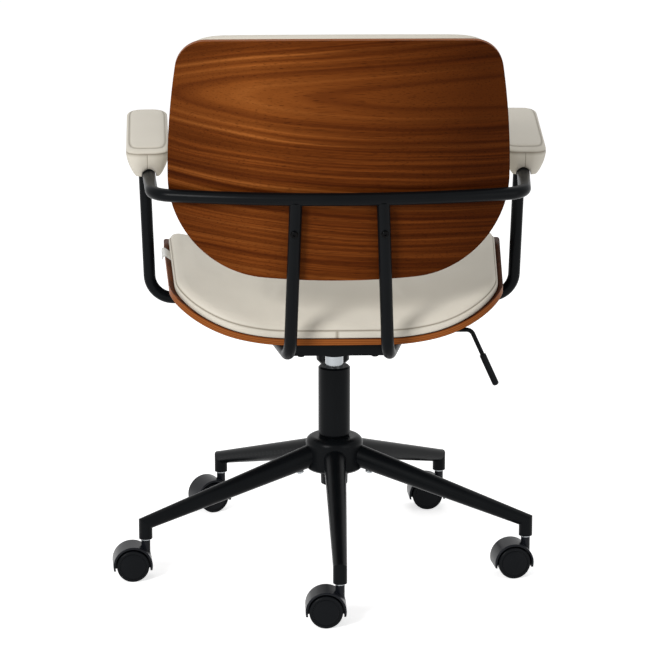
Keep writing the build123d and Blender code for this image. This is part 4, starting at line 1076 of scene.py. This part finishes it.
@dataclass
class Upholstery:
    """Everything that is sewn: the seat cushion, the back pad, both arm pads and the tab."""

    seat: Cushion
    back: Cushion
    pads: tuple[Cushion, ...]
    tab: Tab

    def build(self) -> None:
        """Make every leather piece, and the tab."""
        self.seat.build()
        self.back.build()
        for pad in self.pads:
            pad.build()
        self.tab.build()


@dataclass
class Woodwork:
    """The two bent ply shells."""

    def build(self) -> None:
        """Give the shells their veneer."""
        dress(["back_shell"], BACK_PLY)
        dress(["seat_shell"], SEAT_PLY)


@dataclass
class Metalwork:
    """Tube frame, tilt, column, base and casters."""

    legs: int = 5

    def build(self) -> None:
        """Give every rigid node of the lower part and the frame its finish."""
        coated = [
            "base_hub", "column_tube", "back_rail", "arm_tube_right", "arm_tube_left",
            "back_upright_right", "back_upright_left", "seat_crossbars", "tilt_housing", "tilt_plate",
            "lever_rod",
        ]
        dress(coated + [f"base_leg_{k + 1}" for k in range(self.legs)], POWDER_COAT)
        dress(["column_bush", "tension_knob", "lever_grip"], NYLON)
        dress(["gas_cylinder"], CHROME)
        dress(["back_bolts", "seat_bolts"], BOLT_BLACK)
        zinc = [
            "leg_bolts", "thrust_bearing", "caster_stems", "piston_rod", "column_clip", "release_pin",
            "tilt_pin", "tension_bolt", "tee_nuts", "arm_pad_screws",
        ]
        dress(zinc + [f"caster_{k + 1}_axle" for k in range(self.legs)], ZINC)
        dress([f"caster_{k + 1}_hood" for k in range(self.legs)], HOOD_NYLON)
        wheels = [f"caster_{k + 1}_wheel_{side}" for k in range(self.legs) for side in ("left", "right")]
        dress(wheels, NYLON)


@dataclass
class TensionSpring:
    """Coil between the tilt housing and the knob: its top stays in the housing, its foot in the knob."""

    node: str = "tension_spring"
    merge: float = 0.01  # points closer than this become one

    def build(self) -> None:
        """Copy the coil into a piece of its own, which rides on no body."""
        mesh = bmesh.new()
        mesh.from_mesh(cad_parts[self.node].data)
        bmesh.ops.remove_doubles(mesh, verts=mesh.verts, dist=self.merge * MM)
        bmesh.ops.recalc_face_normals(mesh, faces=mesh.faces)
        piece = new_piece("tension_spring_coil", mesh, ZINC, None)
        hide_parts(self.node)
        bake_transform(piece)


@dataclass(frozen=True)
class Light:
    """A square soft light that faces the chair."""

    name: str
    place: tuple[float, float, float]  # metres
    size: float  # length of its side
    power: float  # watts


@dataclass
class Studio:
    """Pale floor, soft light and the camera."""

    aim: tuple[float, float, float] = (0.0, 0.0, 0.430)
    distance: float = 4.353
    azimuth: float = -1.6
    elevation: float = 13.68
    lens: float = 152.7
    sensor: float = 36.0
    shift: tuple[float, float] = (-0.0064, -0.0567)
    floor_size: float = 60.0
    floor_glow: float = 0.65
    ambient: float = 0.4
    lights: tuple[Light, ...] = (
        Light("key", (-2.0, -2.8, 2.1), 1.0, 78.0),
        Light("fill", (2.6, -2.4, 1.2), 2.0, 18.0),
        Light("top", (0.2, 1.4, 3.8), 3.0, 28.0),
    )

    def build(self) -> None:
        """Set the floor, the lights and the camera."""
        self.set_camera()
        self.lay_floor()
        for light in self.lights:
            self.hang(light)
        self.light_world()
        bpy.context.scene.view_settings.view_transform = "Standard"

    def set_camera(self) -> None:
        """Stand the camera where the photograph was taken from."""
        turn, rise = radians(self.azimuth), radians(self.elevation)
        aim = Vector(self.aim)
        away = Vector((sin(turn) * cos(rise), -cos(turn) * cos(rise), sin(rise)))
        data = bpy.data.cameras.new("camera")
        data.lens = self.lens
        data.sensor_width = self.sensor
        data.shift_x, data.shift_y = self.shift
        camera = bpy.data.objects.new("camera", data)
        camera.location = aim + away * self.distance
        camera.rotation_euler = (-away).to_track_quat("-Z", "Y").to_euler()
        bpy.context.scene.collection.objects.link(camera)
        bpy.context.scene.camera = camera

    @staticmethod
    def shown(tree: Tree) -> Socket:
        """Tell the rays that show the background from those that light the chair.

        Args:
            tree: nodes to add to.

        Returns:
            Socket that is 1 for rays from the camera, from gloss and through glass.
        """
        rays = add_node(tree, "LightPath").outputs
        shown = rays["Is Camera Ray"]
        for kind in ("Is Glossy Ray", "Is Transmission Ray"):
            shown = add_node(tree, "Math", {0: shown, 1: rays[kind]}, operation="MAXIMUM").outputs["Value"]
        return shown

    def lay_floor(self) -> None:
        """Lay a white floor that keeps the chair's shadow."""
        mesh = bmesh.new()
        bmesh.ops.create_grid(mesh, x_segments=1, y_segments=1, size=self.floor_size / 2)
        data = bpy.data.meshes.new("floor")
        mesh.to_mesh(data)
        mesh.free()
        floor = bpy.data.objects.new("floor", data)
        bpy.context.scene.collection.objects.link(floor)
        material = bpy.data.materials.new("studio_floor_white")
        material.use_nodes = True
        tree = material.node_tree
        glow = add_node(tree, "Math", {0: self.shown(tree), 1: self.floor_glow}, operation="MULTIPLY")
        surface = {
            "Base Color": linear("#f4f4f4"),
            "Roughness": 0.9,
            "Specular IOR Level": 0.0,
            "Emission Color": WHITE,
            "Emission Strength": glow.outputs["Value"],
        }
        feed(tree, tree.nodes["Principled BSDF"], surface)
        data.materials.append(material)

    def hang(self, light: Light) -> None:
        """Hang a light and turn it to the chair.

        Args:
            light: what to hang.
        """
        data = bpy.data.lights.new(light.name, "AREA")
        data.size = light.size
        data.energy = light.power
        lamp = bpy.data.objects.new(light.name, data)
        lamp.location = light.place
        lamp.rotation_euler = (Vector(self.aim) - Vector(light.place)).to_track_quat("-Z", "Y").to_euler()
        bpy.context.scene.collection.objects.link(lamp)

    def light_world(self) -> None:
        """Fill the room with soft light behind a white background."""
        world = bpy.data.worlds.new("studio")
        world.use_nodes = True
        tree = world.node_tree
        strength = add_node(tree, "Mix", {"Factor": self.shown(tree), 2: self.ambient, 3: 1.0})
        feed(tree, tree.nodes["Background"], {"Color": WHITE, "Strength": strength.outputs[0]})
        bpy.context.scene.world = world


def main() -> None:
    """Build the sub-assemblies in order and set the stage."""
    logging.basicConfig(level=logging.INFO, format="%(name)s: %(message)s")
    Metalwork().build()
    TensionSpring().build()
    Woodwork().build()
    pads = tuple(
        ArmPad(
            f"arm_pad_{side.name.lower()}_leather",
            f"arm_pad_{side.name.lower()}",
            PAD_RINGS,
            crown=46.5, cells=72, fill=0.8, swell=2.5, join=(1, 7), panel_rounds=60, panel_short=10.0,
            side=side,
        )
        for side in Side
    )
    Upholstery(
        seat=SeatCushion("seat_leather", "seat_cushion", SEAT_RINGS, crown=50.0, cells=120, narrow=0.97),
        back=BackCushion(
            "back_leather",
            "back_cushion",
            BACK_RINGS,
            crown=43.0, cells=112, rounds=40, narrow=0.965, panel_rounds=40,
        ),
        pads=pads,
        tab=Tab(),
    ).build()
    Studio().build()


if __name__ == "__main__":
    main()
